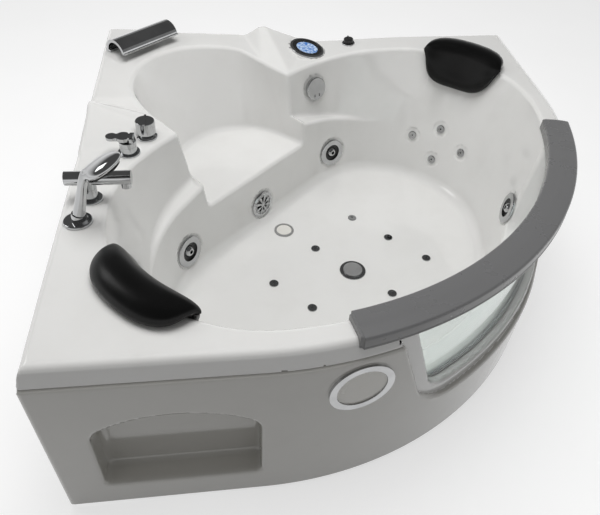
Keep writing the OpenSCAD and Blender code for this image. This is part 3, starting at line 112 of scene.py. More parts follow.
def deck_facets():
    """Triangles of the back wing's deck: its falling line, and the ridge that rises beside the seat."""
    low = DECK_Z - DECK_FALL
    line = [(-HALF - 0.035, low + 0.033), (-0.247, low + 0.024), (-0.182, low + 0.008), (-0.101, low - 0.001),
            (0.0, low), (0.46 * HALF, DECK_Z - 0.37 * DECK_FALL), (HALF + 0.035, DECK_Z)]
    far = HALF + 0.035
    inner = [(x, -x, z) for x, z in line]
    outer = [(line[1][0], far, line[1][1]), (line[2][0], HALF - 0.174, line[2][1]),
             (line[2][0], far, low + 0.061 + 0.010), (line[3][0], HALF - 0.237, line[3][1]),
             (line[4][0], far, line[4][1]), (line[5][0], far, line[5][1]), (far, far, DECK_Z)]
    p = inner + outer
    faces = [(0, 1, 7), (1, 2, 8), (1, 8, 7), (2, 3, 10), (2, 10, 8), (3, 4, 11), (3, 11, 10), (4, 5, 12),
             (4, 12, 11), (5, 6, 13), (5, 13, 12), (7, 8, 9), (8, 10, 9), (10, 11, 9)]
    return [np.array([p[i] for i in f]) for f in faces]


def deck_table(step=0.0025, blur=0.006):
    """Heights of the deck on a square table, its creases softened as a formed sheet's are."""
    n = int(2 * (HALF + 0.03) / step) + 1
    axis = np.linspace(-(HALF + 0.03), HALF + 0.03, n)
    gx, gy = np.meshgrid(axis, axis, indexing="ij")
    fold = gx + gy < 0
    x, y = np.where(fold, -gy, gx), np.where(fold, -gx, gy)
    z = np.full_like(x, DECK_Z)
    for t in deck_facets():
        (x0, y0, z0), (x1, y1, z1), (x2, y2, z2) = t
        det = (x1 - x0) * (y2 - y0) - (x2 - x0) * (y1 - y0)
        b = ((x - x0) * (y2 - y0) - (x2 - x0) * (y - y0)) / det
        c = ((x1 - x0) * (y - y0) - (x - x0) * (y1 - y0)) / det
        hit = (b >= -1e-6) & (c >= -1e-6) & (b + c <= 1 + 1e-6)
        z = np.where(hit, z0 + b * (z1 - z0) + c * (z2 - z0), z)
    u, v = to_uv(gx, gy)
    z = np.where((u < BACK_FLAT_U) & (np.abs(v) < BACK_FLAT_HALF_W), DECK_Z, z)
    reach = int(3 * blur / step)
    weight = np.exp(-0.5 * (np.arange(-reach, reach + 1) * step / blur) ** 2)
    weight /= weight.sum()
    for ax in (0, 1):
        padded = np.pad(z, [(reach, reach) if k == ax else (0, 0) for k in (0, 1)], mode="edge")
        z = sum(w * np.take(padded, range(i, i + n), axis=ax) for i, w in enumerate(weight))
    return axis[0], step, z


DECK_TABLE = deck_table()


def deck_height(x, y):
    """Height of the deck over any place, read between the table's points."""
    start, step, z = DECK_TABLE
    i, j = (x - start) / step, (y - start) / step
    i, j = np.clip(i, 0, len(z) - 1.001), np.clip(j, 0, len(z) - 1.001)
    a, b = i.astype(int), j.astype(int)
    s, t = i - a, j - b
    return ((1 - s) * (1 - t) * z[a, b] + s * (1 - t) * z[a + 1, b]
            + (1 - s) * t * z[a, b + 1] + s * t * z[a + 1, b + 1])


def shares(level):
    """How far out the basin's wall stands along u and v, at a level of 0 on its floor and 1 on the deck."""
    return SHARE_U + (1 - SHARE_U) * level, SHARE_V + (1 - SHARE_V) * level


def basin_wall(u, v, z):
    """Wall of the basin: a front arc and two round lobes, drawn in towards the floor."""
    fu, fv = shares(np.clip((z - FLOOR_Z) / (DECK_Z - FLOOR_Z), 0, 1.3))
    a, b = TAPER_U + (u - TAPER_U) / fu, np.abs(v) / fv
    front = np.hypot(a - FRONT_U, b) - RIM_R
    lobe = np.hypot(a - LOBE_U, b - LOBE_V) - LOBE_R
    ahead = b * (LOBE_U - FRONT_U) < (a - FRONT_U) * LOBE_V
    return 0.9 * np.maximum(REAR_U - a, np.where(ahead, front, np.where(b > LOBE_V, lobe, REAR_U - a)))


def seat_wall(u, v, z):
    """Round back and straight sides of the seat, leaning outwards as they rise."""
    rise = z - SEAT_Z
    c = SEAT_U - RECLINE * rise
    r = SEAT_R + 0.1 * RECLINE * rise
    w = SEAT_HALF_W + SEAT_FLARE * rise
    back = np.hypot(u - c, v) - r
    lean = 1 + (RECLINE * np.clip((c - u) / r, 0, 1)) ** 2
    side = np.abs(v) - (r + (w - r) * (u - c) / (SEAT_FRONT_U - c))
    return np.where(u < c, back / np.sqrt(lean), side)


def arm_wall(u, v, z):
    """Wall over each armrest, between the armrest's arc and the deck's."""
    low = ARM_LOW_Z - ARM_FALL * (np.abs(v) - ARM_V)
    h = np.clip((z - low) / (ARM_TOP_Z - low), -0.2, 1.0)
    (cu, cv, r), (gu, gv, gr) = ARM_ARC, ARM_ARC_GROWTH
    cu, cv, r = cu + gu * h, ARM_V + cv + gv * h, r + gr * h
    arc = 0.85 * (np.hypot(u - cu, np.abs(v) - cv) - r)
    plan = np.maximum(np.maximum(arc, ARM_INNER_V - np.abs(v)), u - ARM_FRONT_U)
    return both(plan, 0.96 * (low - z), 0.012)


def window_hole(v, z, grow=0.0):
    """Outline of the window, wider at its top, its lower corners round."""
    lean = math.atan2(WINDOW_HALF_W - SILL_HALF_W, WINDOW_TOP_Z - SILL_Z)
    side = (np.abs(v) - SILL_HALF_W - (z - SILL_Z) * math.tan(lean)) * math.cos(lean) - grow
    return np.maximum(both(side, SILL_Z - z - grow, WINDOW_CORNER + grow), z - WINDOW_TOP_Z - grow)


def plan_edge(x, y, corner=0.01):
    """Plan of the tub: square behind, a round front."""
    c = FRONT_R - HALF
    arc = np.hypot(x + c, y - c) - FRONT_R
    return np.where((x > -c) & (y < c), arc, both(np.abs(x) - HALF, np.abs(y) - HALF, corner))


def lobe_arc(a):
    """Plan of the basin's round end at an angle."""
    return LOBE_U + LOBE_R * math.cos(a), LOBE_V + LOBE_R * math.sin(a)


def front_arc(a):
    """Plan of the basin's front at an angle."""
    return FRONT_U + RIM_R * math.cos(a), RIM_R * math.sin(a)


def drawn_in(u, v, side, z):
    """A place of the rim's plan on one side of the tub, drawn in as far as the wall is at a height."""
    fu, fv = shares((min(z, DECK_Z) - FLOOR_Z) / (DECK_Z - FLOOR_Z))
    return to_xyz(TAPER_U + fu * (u - TAPER_U), side * fv * v, z)


def wall_at(arc, angle, z, side):
    """Place on the basin's wall and the direction out of it, from an angle round one of its arcs."""
    def point(degrees, height):
        """The wall's place at another angle and height."""
        return drawn_in(*arc(math.radians(degrees)), side, height)

    here = point(angle, z)
    along = point(angle + 0.5, z) - point(angle - 0.5, z)
    n = unit(np.cross(along, point(angle, z + 0.005) - point(angle, z - 0.005)))
    if n @ (to_xyz(TAPER_U, 0, DECK_Z) - here) < 0:
        n = -n
    return here, n


BIG_JETS = [wall_at(lobe_arc, 173, 0.150, -1), wall_at(lobe_arc, 165, 0.158, 1),
            wall_at(front_arc, 28.7, 0.262, 1), wall_at(front_arc, 28.7, 0.262, -1)]
BACK_JETS = [wall_at(lobe_arc, a, z, side) for side in (1, -1)
             for a, z in ((110, 0.215), (94, 0.262), (93, 0.156), (76, 0.222))]
UP = np.array([0.0, 0.0, 1.0])
GRILLE_Z = 0.134
GRILLE_SHARE = SHARE_U + (1 - SHARE_U) * (GRILLE_Z - FLOOR_Z) / (DECK_Z - FLOOR_Z)
GRILLE = (to_xyz(TAPER_U + GRILLE_SHARE * (REAR_U - TAPER_U), 0, GRILLE_Z),
          unit(to_xyz(1, 0, (1 - SHARE_U) / (DECK_Z - FLOOR_Z) * (TAPER_U - REAR_U))))
OVERFLOW = (to_xyz(-0.3508, 0.3354, 0.3843), to_xyz(0.951, -0.236, 0.0) + 0.197 * UP)
PANEL = (np.array([-0.028, 0.592, 0.467]), unit([0.165, -0.07, 1]))
WASTE = (to_xyz(0.084, 0, FLOOR_Z), UP)
LIGHT = (to_xyz(-0.187, 0, FLOOR_Z), UP)
AIR_JETS = [(to_xyz(0.084 + 0.143 * i, 0.198 * j, FLOOR_Z), UP)
            for i in (-1, 0, 1) for j in (-1, 0, 1) if i or j]
# Flats pressed into the wall under the rings, and the holes through the sheet
FLATS = [(q, JET_RING_R) for q in BIG_JETS] + [(q, BACK_JET_RING_R) for q in BACK_JETS] \
    + [(GRILLE, GRILLE_R), (OVERFLOW, OVERFLOW_RING_R)]
HOLES = [(q, JET_NECK_R) for q in BIG_JETS] + [(q, BACK_JET_NECK_R) for q in BACK_JETS] \
    + [(q, AIR_JET_NECK_R) for q in AIR_JETS] \
    + [(GRILLE, GRILLE_NECK_R), (OVERFLOW, OVERFLOW_NECK_R), (WASTE, WASTE_NECK_R), (LIGHT, LIGHT_NECK_R)]


def about(p, place):
    """Distance from a fitting's axis, and height along it."""
    at, n = place
    d = p - at
    w = d @ n
    return np.sqrt(np.maximum((d * d).sum(-1) - w * w, 0)), w


def shell_air(p):
    """Air around the formed shell: over its deck, in its basin, seat and armrests, and through its window."""
    x, y, z = p[:, 0], p[:, 1], p[:, 2]
    u, v = to_uv(x, y)
    r = np.hypot(u - FRONT_U, v)
    cavity = both(basin_wall(u, v, z), FLOOR_Z - z, 0.030)
    seat = both(np.maximum(seat_wall(u, v, z), u - SEAT_FRONT_U), SEAT_Z - z, 0.014)
    cavity = either(cavity, seat, 0.010)
    cavity = either(cavity, arm_wall(u, v, z), 0.010)
    for place, size in FLATS:
        a, w = about(p, place)
        cavity = either(cavity, np.maximum(np.maximum(a - size - FLAT_MARGIN, -w), w - FLAT_REACH), 0.005)
    air = either(0.98 * (deck_height(x, y) - z), cavity, 0.009)
    draft = LIP_SET + LIP_DRAFT * np.clip(z - (DECK_Z - LIP_H), 0, LIP_H)
    air = either(air, -plan_edge(x, y) - draft, 0.012)
    a, w = about(p, PANEL)
    air = both(air, -np.maximum(a - PANEL_BOSS_R, np.maximum(w, -PANEL_BOSS_DEPTH - w)), 0.004)
    air = np.minimum(air, np.maximum(a - PANEL_FACE_R, -w))
    air = either(air, np.maximum(window_hole(v, z, -0.0025), WINDOW_FROM_U - u), 0.009)
    recess = np.maximum(np.maximum(WINDOW_R - r, window_hole(v, z, SHELL_RECESS)), z - CAP_LOW_Z)
    air = either(air, recess, 0.007)
    ahead = np.degrees(np.abs(np.arctan2(v, u - FRONT_U)))
    under_cap = np.maximum(CAP_SEAT_R - r, CAP_LOW_Z - 0.002 - z)
    return np.minimum(air, np.maximum(under_cap, r * np.radians(ahead - CAP_SEAT_ANGLE)))


def niche_side(x, y):
    """The two free sides folded onto one: the place along it and the place across it."""
    fold = x + y > 0
    return np.where(fold, -y, x), np.where(fold, -x, y)


def apron_air(p):
    """Air around the apron: outside it, over its shoulder, in the window's recess and in the niches."""
    x, y, z = p[:, 0], p[:, 1], p[:, 2]
    u, v = to_uv(x, y)
    air = either(-plan_edge(x, y), APRON_TOP_Z - z, 0.012)
    air = either(air, np.maximum(window_hole(v, z, RECESS_GROW), WINDOW_FROM_U - u), 0.010)
    a, b = niche_side(x, y)
    arch_r = (NICHE_W ** 2 / 4 + NICHE_RISE ** 2) / (2 * NICHE_RISE)
    arch = np.hypot(a - NICHE_X, z - (NICHE_FLOOR_Z + NICHE_H - arch_r)) - arch_r
    box = both(np.abs(a - NICHE_X) - NICHE_W / 2, NICHE_FLOOR_Z - z, 0.012)
    niche = both(both(box, arch, 0.02), b + HALF - NICHE_DEPTH, 0.012)
    return either(air, niche, 0.007)


def slope(field, p, d=0.0008):
    """Direction in which a field grows, at each place."""
    g = np.empty_like(p)
    for k in range(3):
        step = np.zeros(3)
        step[k] = d
        g[:, k] = field(p + step) - field(p - step)
    return g / np.maximum(np.linalg.norm(g, axis=1, keepdims=True), 1e-9)


def skin(field, low, high, step):
    """Points and four-sided faces of the surface on which a field is zero, each point drawn onto it."""
    low, high = np.array(low, float), np.array(high, float)
    n = np.ceil((high - low) / step).astype(int) + 1
    gx, gy = np.meshgrid(low[0] + step * np.arange(n[0]), low[1] + step * np.arange(n[1]), indexing="ij")
    flat = np.empty((gx.size, 3))
    flat[:, 0], flat[:, 1] = gx.ravel(), gy.ravel()
    # The field's values on the grid, layer by layer
    value = np.empty(tuple(n), np.float32)
    for k in range(n[2]):
        flat[:, 2] = low[2] + step * k
        value[:, :, k] = field(flat).reshape(n[0], n[1])
    inside = value < 0
    count = np.zeros(tuple(n - 1), np.int8)
    corners = [(a, b, c) for a in (0, 1) for b in (0, 1) for c in (0, 1)]
    for a, b, c in corners:
        count += inside[a:n[0] - 1 + a, b:n[1] - 1 + b, c:n[2] - 1 + c]
    cell = np.argwhere((count > 0) & (count < 8))
    index = np.full(tuple(n - 1), -1, np.int64)
    index[tuple(cell.T)] = np.arange(len(cell))
    # One point in each cell that the surface crosses, at the mean of its crossings of the cell's edges
    total, hits = np.zeros((len(cell), 3)), np.zeros(len(cell))
    for a in corners:
        for k in range(3):
            if a[k]:
                continue
            b = list(a)
            b[k] = 1
            fa = value[tuple((cell + a).T)].astype(float)
            fb = value[tuple((cell + b).T)].astype(float)
            cross = (fa < 0) != (fb < 0)
            t = np.where(cross, fa / np.where(cross, fa - fb, 1), 0)
            point = cell + np.array(a, float)
            point[:, k] += t
            total[cross] += point[cross]
            hits += cross
    points = low + step * total / hits[:, None]
    for _ in range(3):
        g = slope(field, points)
        move = np.clip(field(points), -0.4 * step, 0.4 * step)
        points = points - move[:, None] * g
    # One face over each grid edge that crosses the surface, from the four cells round it
    faces = []
    for k in range(3):
        a, b = [(1, 2), (2, 0), (0, 1)][k]
        here = [slice(1, None)] * 3
        here[k] = slice(0, n[k] - 1)
        there = [slice(1, None)] * 3
        there[k] = slice(1, n[k])
        v0, v1 = inside[tuple(here)], inside[tuple(there)]
        spot = np.argwhere(v0 != v1)
        base = spot + 1
        base[:, k] = spot[:, k]
        keep = (base[:, a] <= n[a] - 2) & (base[:, b] <= n[b] - 2)
        base, spot = base[keep], spot[keep]
        ring = []
        for da, db in ((-1, -1), (0, -1), (0, 0), (-1, 0)):
            c = base.copy()
            c[:, a] += da
            c[:, b] += db
            ring.append(index[tuple(c.T)])
        quad = np.stack(ring, axis=1)
        flip = v0[tuple(spot.T)]
        quad[flip] = quad[flip][:, ::-1]
        faces.append(quad)
    faces = np.concatenate(faces)
    return points, faces[(faces >= 0).all(axis=1)]


def used(points, faces):
    """The same surface without the points that no face uses."""
    keep = np.unique(faces)
    index = np.full(len(points), -1)
    index[keep] = np.arange(len(keep))
    return points[keep], index[faces]


def bored(points, faces, holes):
    """A sheet with round holes cut in it, their edges drawn onto true circles."""
    for place, radius in holes:
        a, w = about(points, place)
        gone = (a < radius) & (np.abs(w) < 0.012)
        hit = gone[faces].any(axis=1)
        edge = np.setdiff1d(np.unique(faces[hit]), np.flatnonzero(gone))
        faces = faces[~hit]
        edge = edge[np.isin(edge, np.unique(faces))]
        at, n = place
        d = points[edge] - at
        along = (d @ n)[:, None] * n
        out = d - along
        points[edge] = at + along + out * (radius / np.linalg.norm(out, axis=1))[:, None]
    return used(points, faces)


def new_mesh(name, points, faces, normals=None):
    """A smooth object of points and faces, shaded by the given normals."""
    mesh = bpy.data.meshes.new(name)
    mesh.from_pydata([tuple(p) for p in points], [], [tuple(int(i) for i in f) for f in faces])
    mesh.update()
    mesh.polygons.foreach_set("use_smooth", [True] * len(mesh.polygons))
    if normals is not None:
        mesh.normals_split_custom_set_from_vertices([tuple(n) for n in normals])
    obj = bpy.data.objects.new(name, mesh)
    bpy.context.scene.collection.objects.link(obj)
    return obj


def formed_sheet(name, points, faces, field, finish, thickness):
    """A sheet of even thickness behind a surface, with closed edges and another finish on its back."""
    normals = -slope(field, points)
    n = len(points)
    edges = np.concatenate([faces[:, [i, (i + 1) % 4]] for i in range(4)])
    key = np.sort(edges, axis=1)
    _, first, number = np.unique(key, axis=0, return_index=True, return_counts=True)
    rim = edges[first[number == 1]]
    strip = np.stack([rim[:, 1], rim[:, 0], rim[:, 0] + n, rim[:, 1] + n], axis=1)
    everything = np.concatenate([faces, faces[:, ::-1] + n, strip])
    obj = new_mesh(name, np.concatenate([points, points - thickness * normals]), everything,
                   np.concatenate([normals, -normals]))
    back = np.zeros(len(everything), int)
    back[len(faces):2 * len(faces)] = 1
    obj.data.polygons.foreach_set("material_index", back)
    obj.data.materials.append(finish)
    obj.data.materials.append(SHEET_BACK)
    return obj


def rounded(corners, steps=5):
    """An outline through corners (a, b, radius), each turned in an arc of its radius."""
    out = []
    count = len(corners)
    for i, (a, b, r) in enumerate(corners):
        here = np.array([a, b], float)
        before = unit(np.array(corners[i - 1][:2]) - here)
        after = unit(np.array(corners[(i + 1) % count][:2]) - here)
        half = math.acos(float(np.clip(before @ after, -1, 1))) / 2
        if r <= 0 or half > 1.55 or i in (0, count - 1):
            out.append(tuple(here))
            continue
        middle = here + unit(before + after) * r / math.sin(half)
        start, end = here + before * r / math.tan(half), here + after * r / math.tan(half)
        for k in range(steps + 1):
            m = start + (end - start) * k / steps
            out.append(tuple(middle + unit(m - middle) * r))
    return out


def bands(rows):
    """Four-sided faces between each closed row of points and the next."""
    n = len(rows[0])
    return [[a[k], a[(k + 1) % n], b[(k + 1) % n], b[k]] for a, b in zip(rows, rows[1:]) for k in range(n)]


def turns(around):
    """Even angles once round a circle."""
    return [2 * math.pi * k / around for k in range(around)]


def between_points(a, b, c, d, f):
    """A place from b to c on the smooth curve through a, b, c and d."""
    return 0.5 * (2 * b + (c - a) * f + (2 * a - 5 * b + 4 * c - d) * f ** 2
                  + (3 * b - a - 3 * c + d) * f ** 3)


# Surface effects, each built once and placed in the materials with its own values
def effect(name, inputs):
    """An empty node group with an input for each colour or number, and its three outputs."""
    group = bpy.data.node_groups.new(name, "ShaderNodeTree")
    colour, number = "NodeSocketColor", "NodeSocketFloat"
    for label, value in inputs.items():
        kind = colour if isinstance(value, tuple) else number
        group.interface.new_socket(name=label, in_out="INPUT", socket_type=kind).default_value = value
    for label, kind in (("Colour", colour), ("Roughness", number), ("Height", number)):
        group.interface.new_socket(name=label, in_out="OUTPUT", socket_type=kind)
    return group, group.nodes.new("NodeGroupInput").outputs, group.nodes.new("NodeGroupOutput").inputs


def add(tree, kind, feeds=(), **settings):
    """A node with its settings, each feed an (input, source socket or value) pair."""
    node = tree.nodes.new(kind)
    for key, value in settings.items():
        setattr(node, key, value)
    for key, source in feeds:
        if isinstance(source, bpy.types.NodeSocket):
            tree.links.new(source, node.inputs[key])
        else:
            node.inputs[key].default_value = source
    return node


def noise(tree, scale, detail=3.0, roughness=0.5, stretch=None):
    """Noise over the piece's own coordinates, its scale a socket or a number."""
    where = add(tree, "ShaderNodeTexCoord").outputs["Object"]
    if stretch:
        where = add(tree, "ShaderNodeMapping", [("Vector", where), ("Scale", stretch)]).outputs["Vector"]
    return add(tree, "ShaderNodeTexNoise", [("Vector", where), ("Scale", scale), ("Detail", detail),
                                            ("Roughness", roughness)]).outputs["Fac"]


def between(tree, value, low, high, to_low, to_high):
    """A value spread from one range over another."""
    return add(tree, "ShaderNodeMapRange", [("Value", value), ("From Min", low), ("From Max", high),
                                            ("To Min", to_low), ("To Max", to_high)]).outputs["Result"]


def mixed(tree, share, first, second):
    """A colour between two others."""
    tint = add(tree, "ShaderNodeMix", data_type="RGBA")
    for socket, source in ((0, share), (6, first), (7, second)):
        tree.links.new(source, tint.inputs[socket])
    return tint.outputs[2]


def spread(tree, value, by, start):
    """A value times one number, added to another."""
    return add(tree, "ShaderNodeMath", [(0, value), (1, by), (2, start)], operation="MULTIPLY_ADD").outputs[0]


def put_out(tree, out, colour, rough, height):
    """The effect's three results linked to its outputs."""
    for label, source in (("Colour", colour), ("Roughness", rough), ("Height", height)):
        tree.links.new(source, out[label])
    return tree


def formed_gloss():
    """Long soft waves of a vacuum-formed sheet, with a faint haze where it has been handled."""
    g, i, o = effect("Formed gloss", {"Colour": (1, 1, 1, 1), "Shade": (0.9, 0.9, 0.9, 1), "Wave scale": 6.0,
                                      "Roughness": 0.1, "Haze": 0.05})
    wave = noise(g, i["Wave scale"], 1.5, 0.4)
    haze = between(g, noise(g, 9.0, 4.0, 0.6), 0.45, 0.75, 0.0, 1.0)
    rough = spread(g, haze, i["Haze"], i["Roughness"])
    return put_out(g, o, mixed(g, haze, i["Colour"], i["Shade"]), rough, wave)


def fine_grain():
    """Pebbled grain of moulded foam skin or plastic, with its hollows a little darker."""
    g, i, o = effect("Fine grain", {"Colour": (0, 0, 0, 1), "Hollow": (0, 0, 0, 1), "Grain scale": 900.0,
                                    "Roughness": 0.4, "Spread": 0.1})
    where = add(g, "ShaderNodeTexCoord").outputs["Object"]
    cells = add(g, "ShaderNodeTexVoronoi", [("Vector", where), ("Scale", i["Grain scale"])],
                feature="SMOOTH_F1").outputs["Distance"]
    patch = noise(g, 14.0, 4.0, 0.6)
    tint = mixed(g, between(g, cells, 0.1, 0.7, 0.0, 1.0), i["Hollow"], i["Colour"])
    rough = spread(g, between(g, patch, 0.35, 0.7, -1.0, 1.0), i["Spread"], i["Roughness"])
    return put_out(g, o, tint, rough, cells)


def polish_marks():
    """Wiping marks and water haze on plated or drawn metal."""
    g, i, o = effect("Polish marks", {"Colour": (0.6, 0.6, 0.6, 1), "Dull": (0.4, 0.4, 0.4, 1),
                                      "Mark scale": 60.0, "Roughness": 0.08, "Spread": 0.08})
    fine = noise(g, i["Mark scale"], 5.0, 0.65, (1.0, 0.16, 1.0))
    patch = between(g, noise(g, 18.0, 3.0, 0.5), 0.4, 0.7, 0.0, 1.0)
    rough = spread(g, fine, i["Spread"], i["Roughness"])
    return put_out(g, o, mixed(g, patch, i["Colour"], i["Dull"]), rough, fine)


GLOSS, GRAIN, POLISH = formed_gloss(), fine_grain(), polish_marks()


def surface(name, effect_group, values, bump=0.0, depth=0.001, **shader_values):
    """A material: one effect feeding colour, roughness and bump, the rest set on the shader itself."""
    material = bpy.data.materials.new(name)
    material.use_nodes = True
    tree = material.node_tree
    shader = tree.nodes["Principled BSDF"]
    for key, value in shader_values.items():
        shader.inputs[key.replace("_", " ")].default_value = value
    group = add(tree, "ShaderNodeGroup", node_tree=effect_group)
    for key, value in values.items():
        group.inputs[key].default_value = value
    tree.links.new(group.outputs["Colour"], shader.inputs["Base Color"])
    tree.links.new(group.outputs["Roughness"], shader.inputs["Roughness"])
    if bump:
        lift = add(tree, "ShaderNodeBump", [("Strength", bump), ("Distance", depth),
                                            ("Height", group.outputs["Height"])])
        tree.links.new(lift.outputs["Normal"], shader.inputs["Normal"])
    return material


def grey(v, tint=(1, 1, 1)):
    """A colour from one level and a tint."""
    return (v * tint[0], v * tint[1], v * tint[2], 1)


WARM, COOL = (1, 0.98, 0.92), (0.98, 0.99, 1)
ACRYLIC = surface("White acrylic", GLOSS,
                  {"Colour": grey(0.80, (1, 0.995, 0.975)), "Shade": grey(0.775, (1, 0.993, 0.97)),
                   "Wave scale": 5.0, "Roughness": 0.09, "Haze": 0.07},
                  bump=0.12, depth=0.004, Coat_Weight=0.6, Coat_Roughness=0.04)
SHEET_BACK = surface("Glass fibre back of the sheet", GRAIN,
                     {"Colour": grey(0.62, (1, 0.98, 0.9)), "Hollow": grey(0.5, (1, 0.95, 0.85)),
                      "Grain scale": 160.0, "Roughness": 0.7, "Spread": 0.1}, bump=0.5, depth=0.002)
# Painted shade: the apron is the same white acrylic as the deck, its colour set darker for the shade on its
# upright face
APRON_SHADED_WHITE = surface("Apron acrylic with painted shade", GLOSS,
                      {"Colour": grey(0.58, WARM), "Shade": grey(0.56, WARM), "Wave scale": 4.0,
                       "Roughness": 0.12, "Haze": 0.08},
                      bump=0.12, depth=0.004, Coat_Weight=0.5, Coat_Roughness=0.05)
CHROME = surface("Chrome plate", POLISH,
                 {"Colour": grey(0.55, COOL), "Dull": grey(0.47, COOL), "Roughness": 0.03, "Spread": 0.06},
                 bump=0.02, depth=0.0005, Metallic=1.0)
BRUSHED = surface("Brushed steel", POLISH,
                  {"Colour": grey(0.50), "Dull": grey(0.38), "Mark scale": 260.0, "Roughness": 0.24,
                   "Spread": 0.2}, bump=0.06, depth=0.0005, Metallic=0.6)
CAP_GREY = surface("Grey cap lacquer", GRAIN,
                   {"Colour": grey(0.165, (1, 1, 1.02)), "Hollow": grey(0.155), "Grain scale": 1400.0,
                    "Roughness": 0.3, "Spread": 0.05},
                   bump=0.05, depth=0.0003, Coat_Weight=0.3, Coat_Roughness=0.15)
PILLOW = surface("Black foam skin", GRAIN,
                 {"Colour": grey(0.004), "Hollow": grey(0.003), "Grain scale": 900.0, "Roughness": 0.34,
                  "Spread": 0.06},
                 bump=0.05, depth=0.0002, Specular_IOR_Level=0.22, Coat_Weight=0.08, Coat_Roughness=0.16)
BLACK = surface("Black moulding", GRAIN,
                {"Colour": grey(0.012), "Hollow": grey(0.009), "Grain scale": 1600.0, "Roughness": 0.28,
                 "Spread": 0.06}, bump=0.05, depth=0.0002)
RUBBER = surface("Pale window silicone", GRAIN,
                 {"Colour": grey(0.42), "Hollow": grey(0.36), "Grain scale": 1200.0, "Roughness": 0.6,
                  "Spread": 0.08}, bump=0.1, depth=0.0003)
WHITE_PLASTIC = surface("White pipe plastic", GRAIN,
                        {"Colour": grey(0.72), "Hollow": grey(0.68), "Grain scale": 700.0, "Roughness": 0.4,
                         "Spread": 0.08}, bump=0.05, depth=0.0003)
BRASS = surface("Cast brass", POLISH,
                {"Colour": (0.60, 0.42, 0.17, 1), "Dull": (0.42, 0.28, 0.11, 1), "Roughness": 0.25,
                 "Spread": 0.25}, bump=0.1, depth=0.0006, Metallic=1.0)
COPPER = surface("Braided supply pipe", POLISH,
                 {"Colour": (0.55, 0.29, 0.17, 1), "Dull": (0.36, 0.17, 0.1, 1), "Roughness": 0.25,
                  "Spread": 0.25}, bump=0.1, depth=0.0006, Metallic=1.0)
STEEL = surface("Galvanised tube", POLISH,
                {"Colour": grey(0.42, (0.98, 1, 1.02)), "Dull": grey(0.32), "Mark scale": 30.0,
                 "Roughness": 0.35, "Spread": 0.25}, bump=0.1, depth=0.0006, Metallic=1.0)
FOOT = surface("Foot rubber", GRAIN,
               {"Colour": grey(0.02), "Hollow": grey(0.014), "Grain scale": 800.0, "Roughness": 0.55,
                "Spread": 0.1}, bump=0.1, depth=0.0004)
BOARD = surface("Sealed board", GRAIN,
                {"Colour": (0.36, 0.26, 0.15, 1), "Hollow": (0.25, 0.17, 0.09, 1), "Grain scale": 240.0,
                 "Roughness": 0.65, "Spread": 0.1}, bump=0.3, depth=0.001)
MOTOR = surface("Painted motor casting", GRAIN,
                {"Colour": grey(0.10, (0.9, 1, 1.1)), "Hollow": grey(0.07), "Grain scale": 500.0,
                 "Roughness": 0.45, "Spread": 0.1}, bump=0.2, depth=0.0005)
ROTOR = surface("Turned rotor", POLISH,
                {"Colour": grey(0.35), "Dull": grey(0.26), "Roughness": 0.3, "Spread": 0.2},
                bump=0.05, depth=0.0004, Metallic=1.0)
GLASS = surface("Smoked window glass", POLISH,
                {"Colour": (0.80, 0.86, 0.84, 1), "Dull": (0.76, 0.83, 0.81, 1), "Roughness": 0.0,
                 "Spread": 0.02}, Transmission_Weight=1.0, IOR=1.45)
LENS = surface("Frosted lamp lens", GLOSS,
               {"Colour": grey(0.78, WARM), "Shade": grey(0.74, WARM), "Wave scale": 12.0,
                "Roughness": 0.22, "Haze": 0.1},
               bump=0.1, depth=0.001, Coat_Weight=0.3, Subsurface_Weight=0.15,
               Subsurface_Radius=(0.004, 0.004, 0.004))
DISPLAY = surface("Panel display", GRAIN,
                  {"Colour": (0.05, 0.2, 0.6, 1), "Hollow": (0.75, 0.88, 1.0, 1), "Grain scale": 150.0,
                   "Roughness": 0.2, "Spread": 0.03}, Coat_Weight=0.6, Coat_Roughness=0.05)

NODE_FINISHES = {
    ACRYLIC: "tub_shell",
    APRON_SHADED_WHITE: "apron towel_niches",
    LENS: "apron_lamp_lenses light_lens",
    GLASS: "window_glass",
    RUBBER: "window_seal",
    CAP_GREY: "rim_cap",
    PILLOW: "pillow_left pillow_right",
    CHROME: "apron_lamp_rings waterfall_spout hand_shower_socket hand_shower spout_column filler_spout"
            " mixer_base mixer_collar mixer_lever diverter_base diverter_knob panel_bezel air_knob_base"
            " overflow_knob drain_body jet_flanges jet_nozzle_1 jet_nozzle_2 jet_nozzle_3 jet_nozzle_4"
            " back_jets floor_air_jets suction_grille",
    BRUSHED: "drain_plug underwater_light",
    BLACK: "spray_plate panel_housing air_knob jet_sockets overflow_body",
    DISPLAY: "panel_display",
    WHITE_PLASTIC: "trap jet_housings suction_housing jet_pipes control_box",
    BRASS: "valve_block",
    COPPER: "tap_pipes",
    STEEL: "steel_frame",
    FOOT: "foot_1 foot_2 foot_3 foot_4 foot_5",
    BOARD: "support_boards",
    MOTOR: "pump_motor pump_wet_end blower_housing",
    ROTOR: "pump_rotor blower_fan",
}
for finish, names in NODE_FINISHES.items():
    for name in names.split():
        mesh = cad_nodes[name].data
        mesh.materials.clear()
        mesh.materials.append(finish)


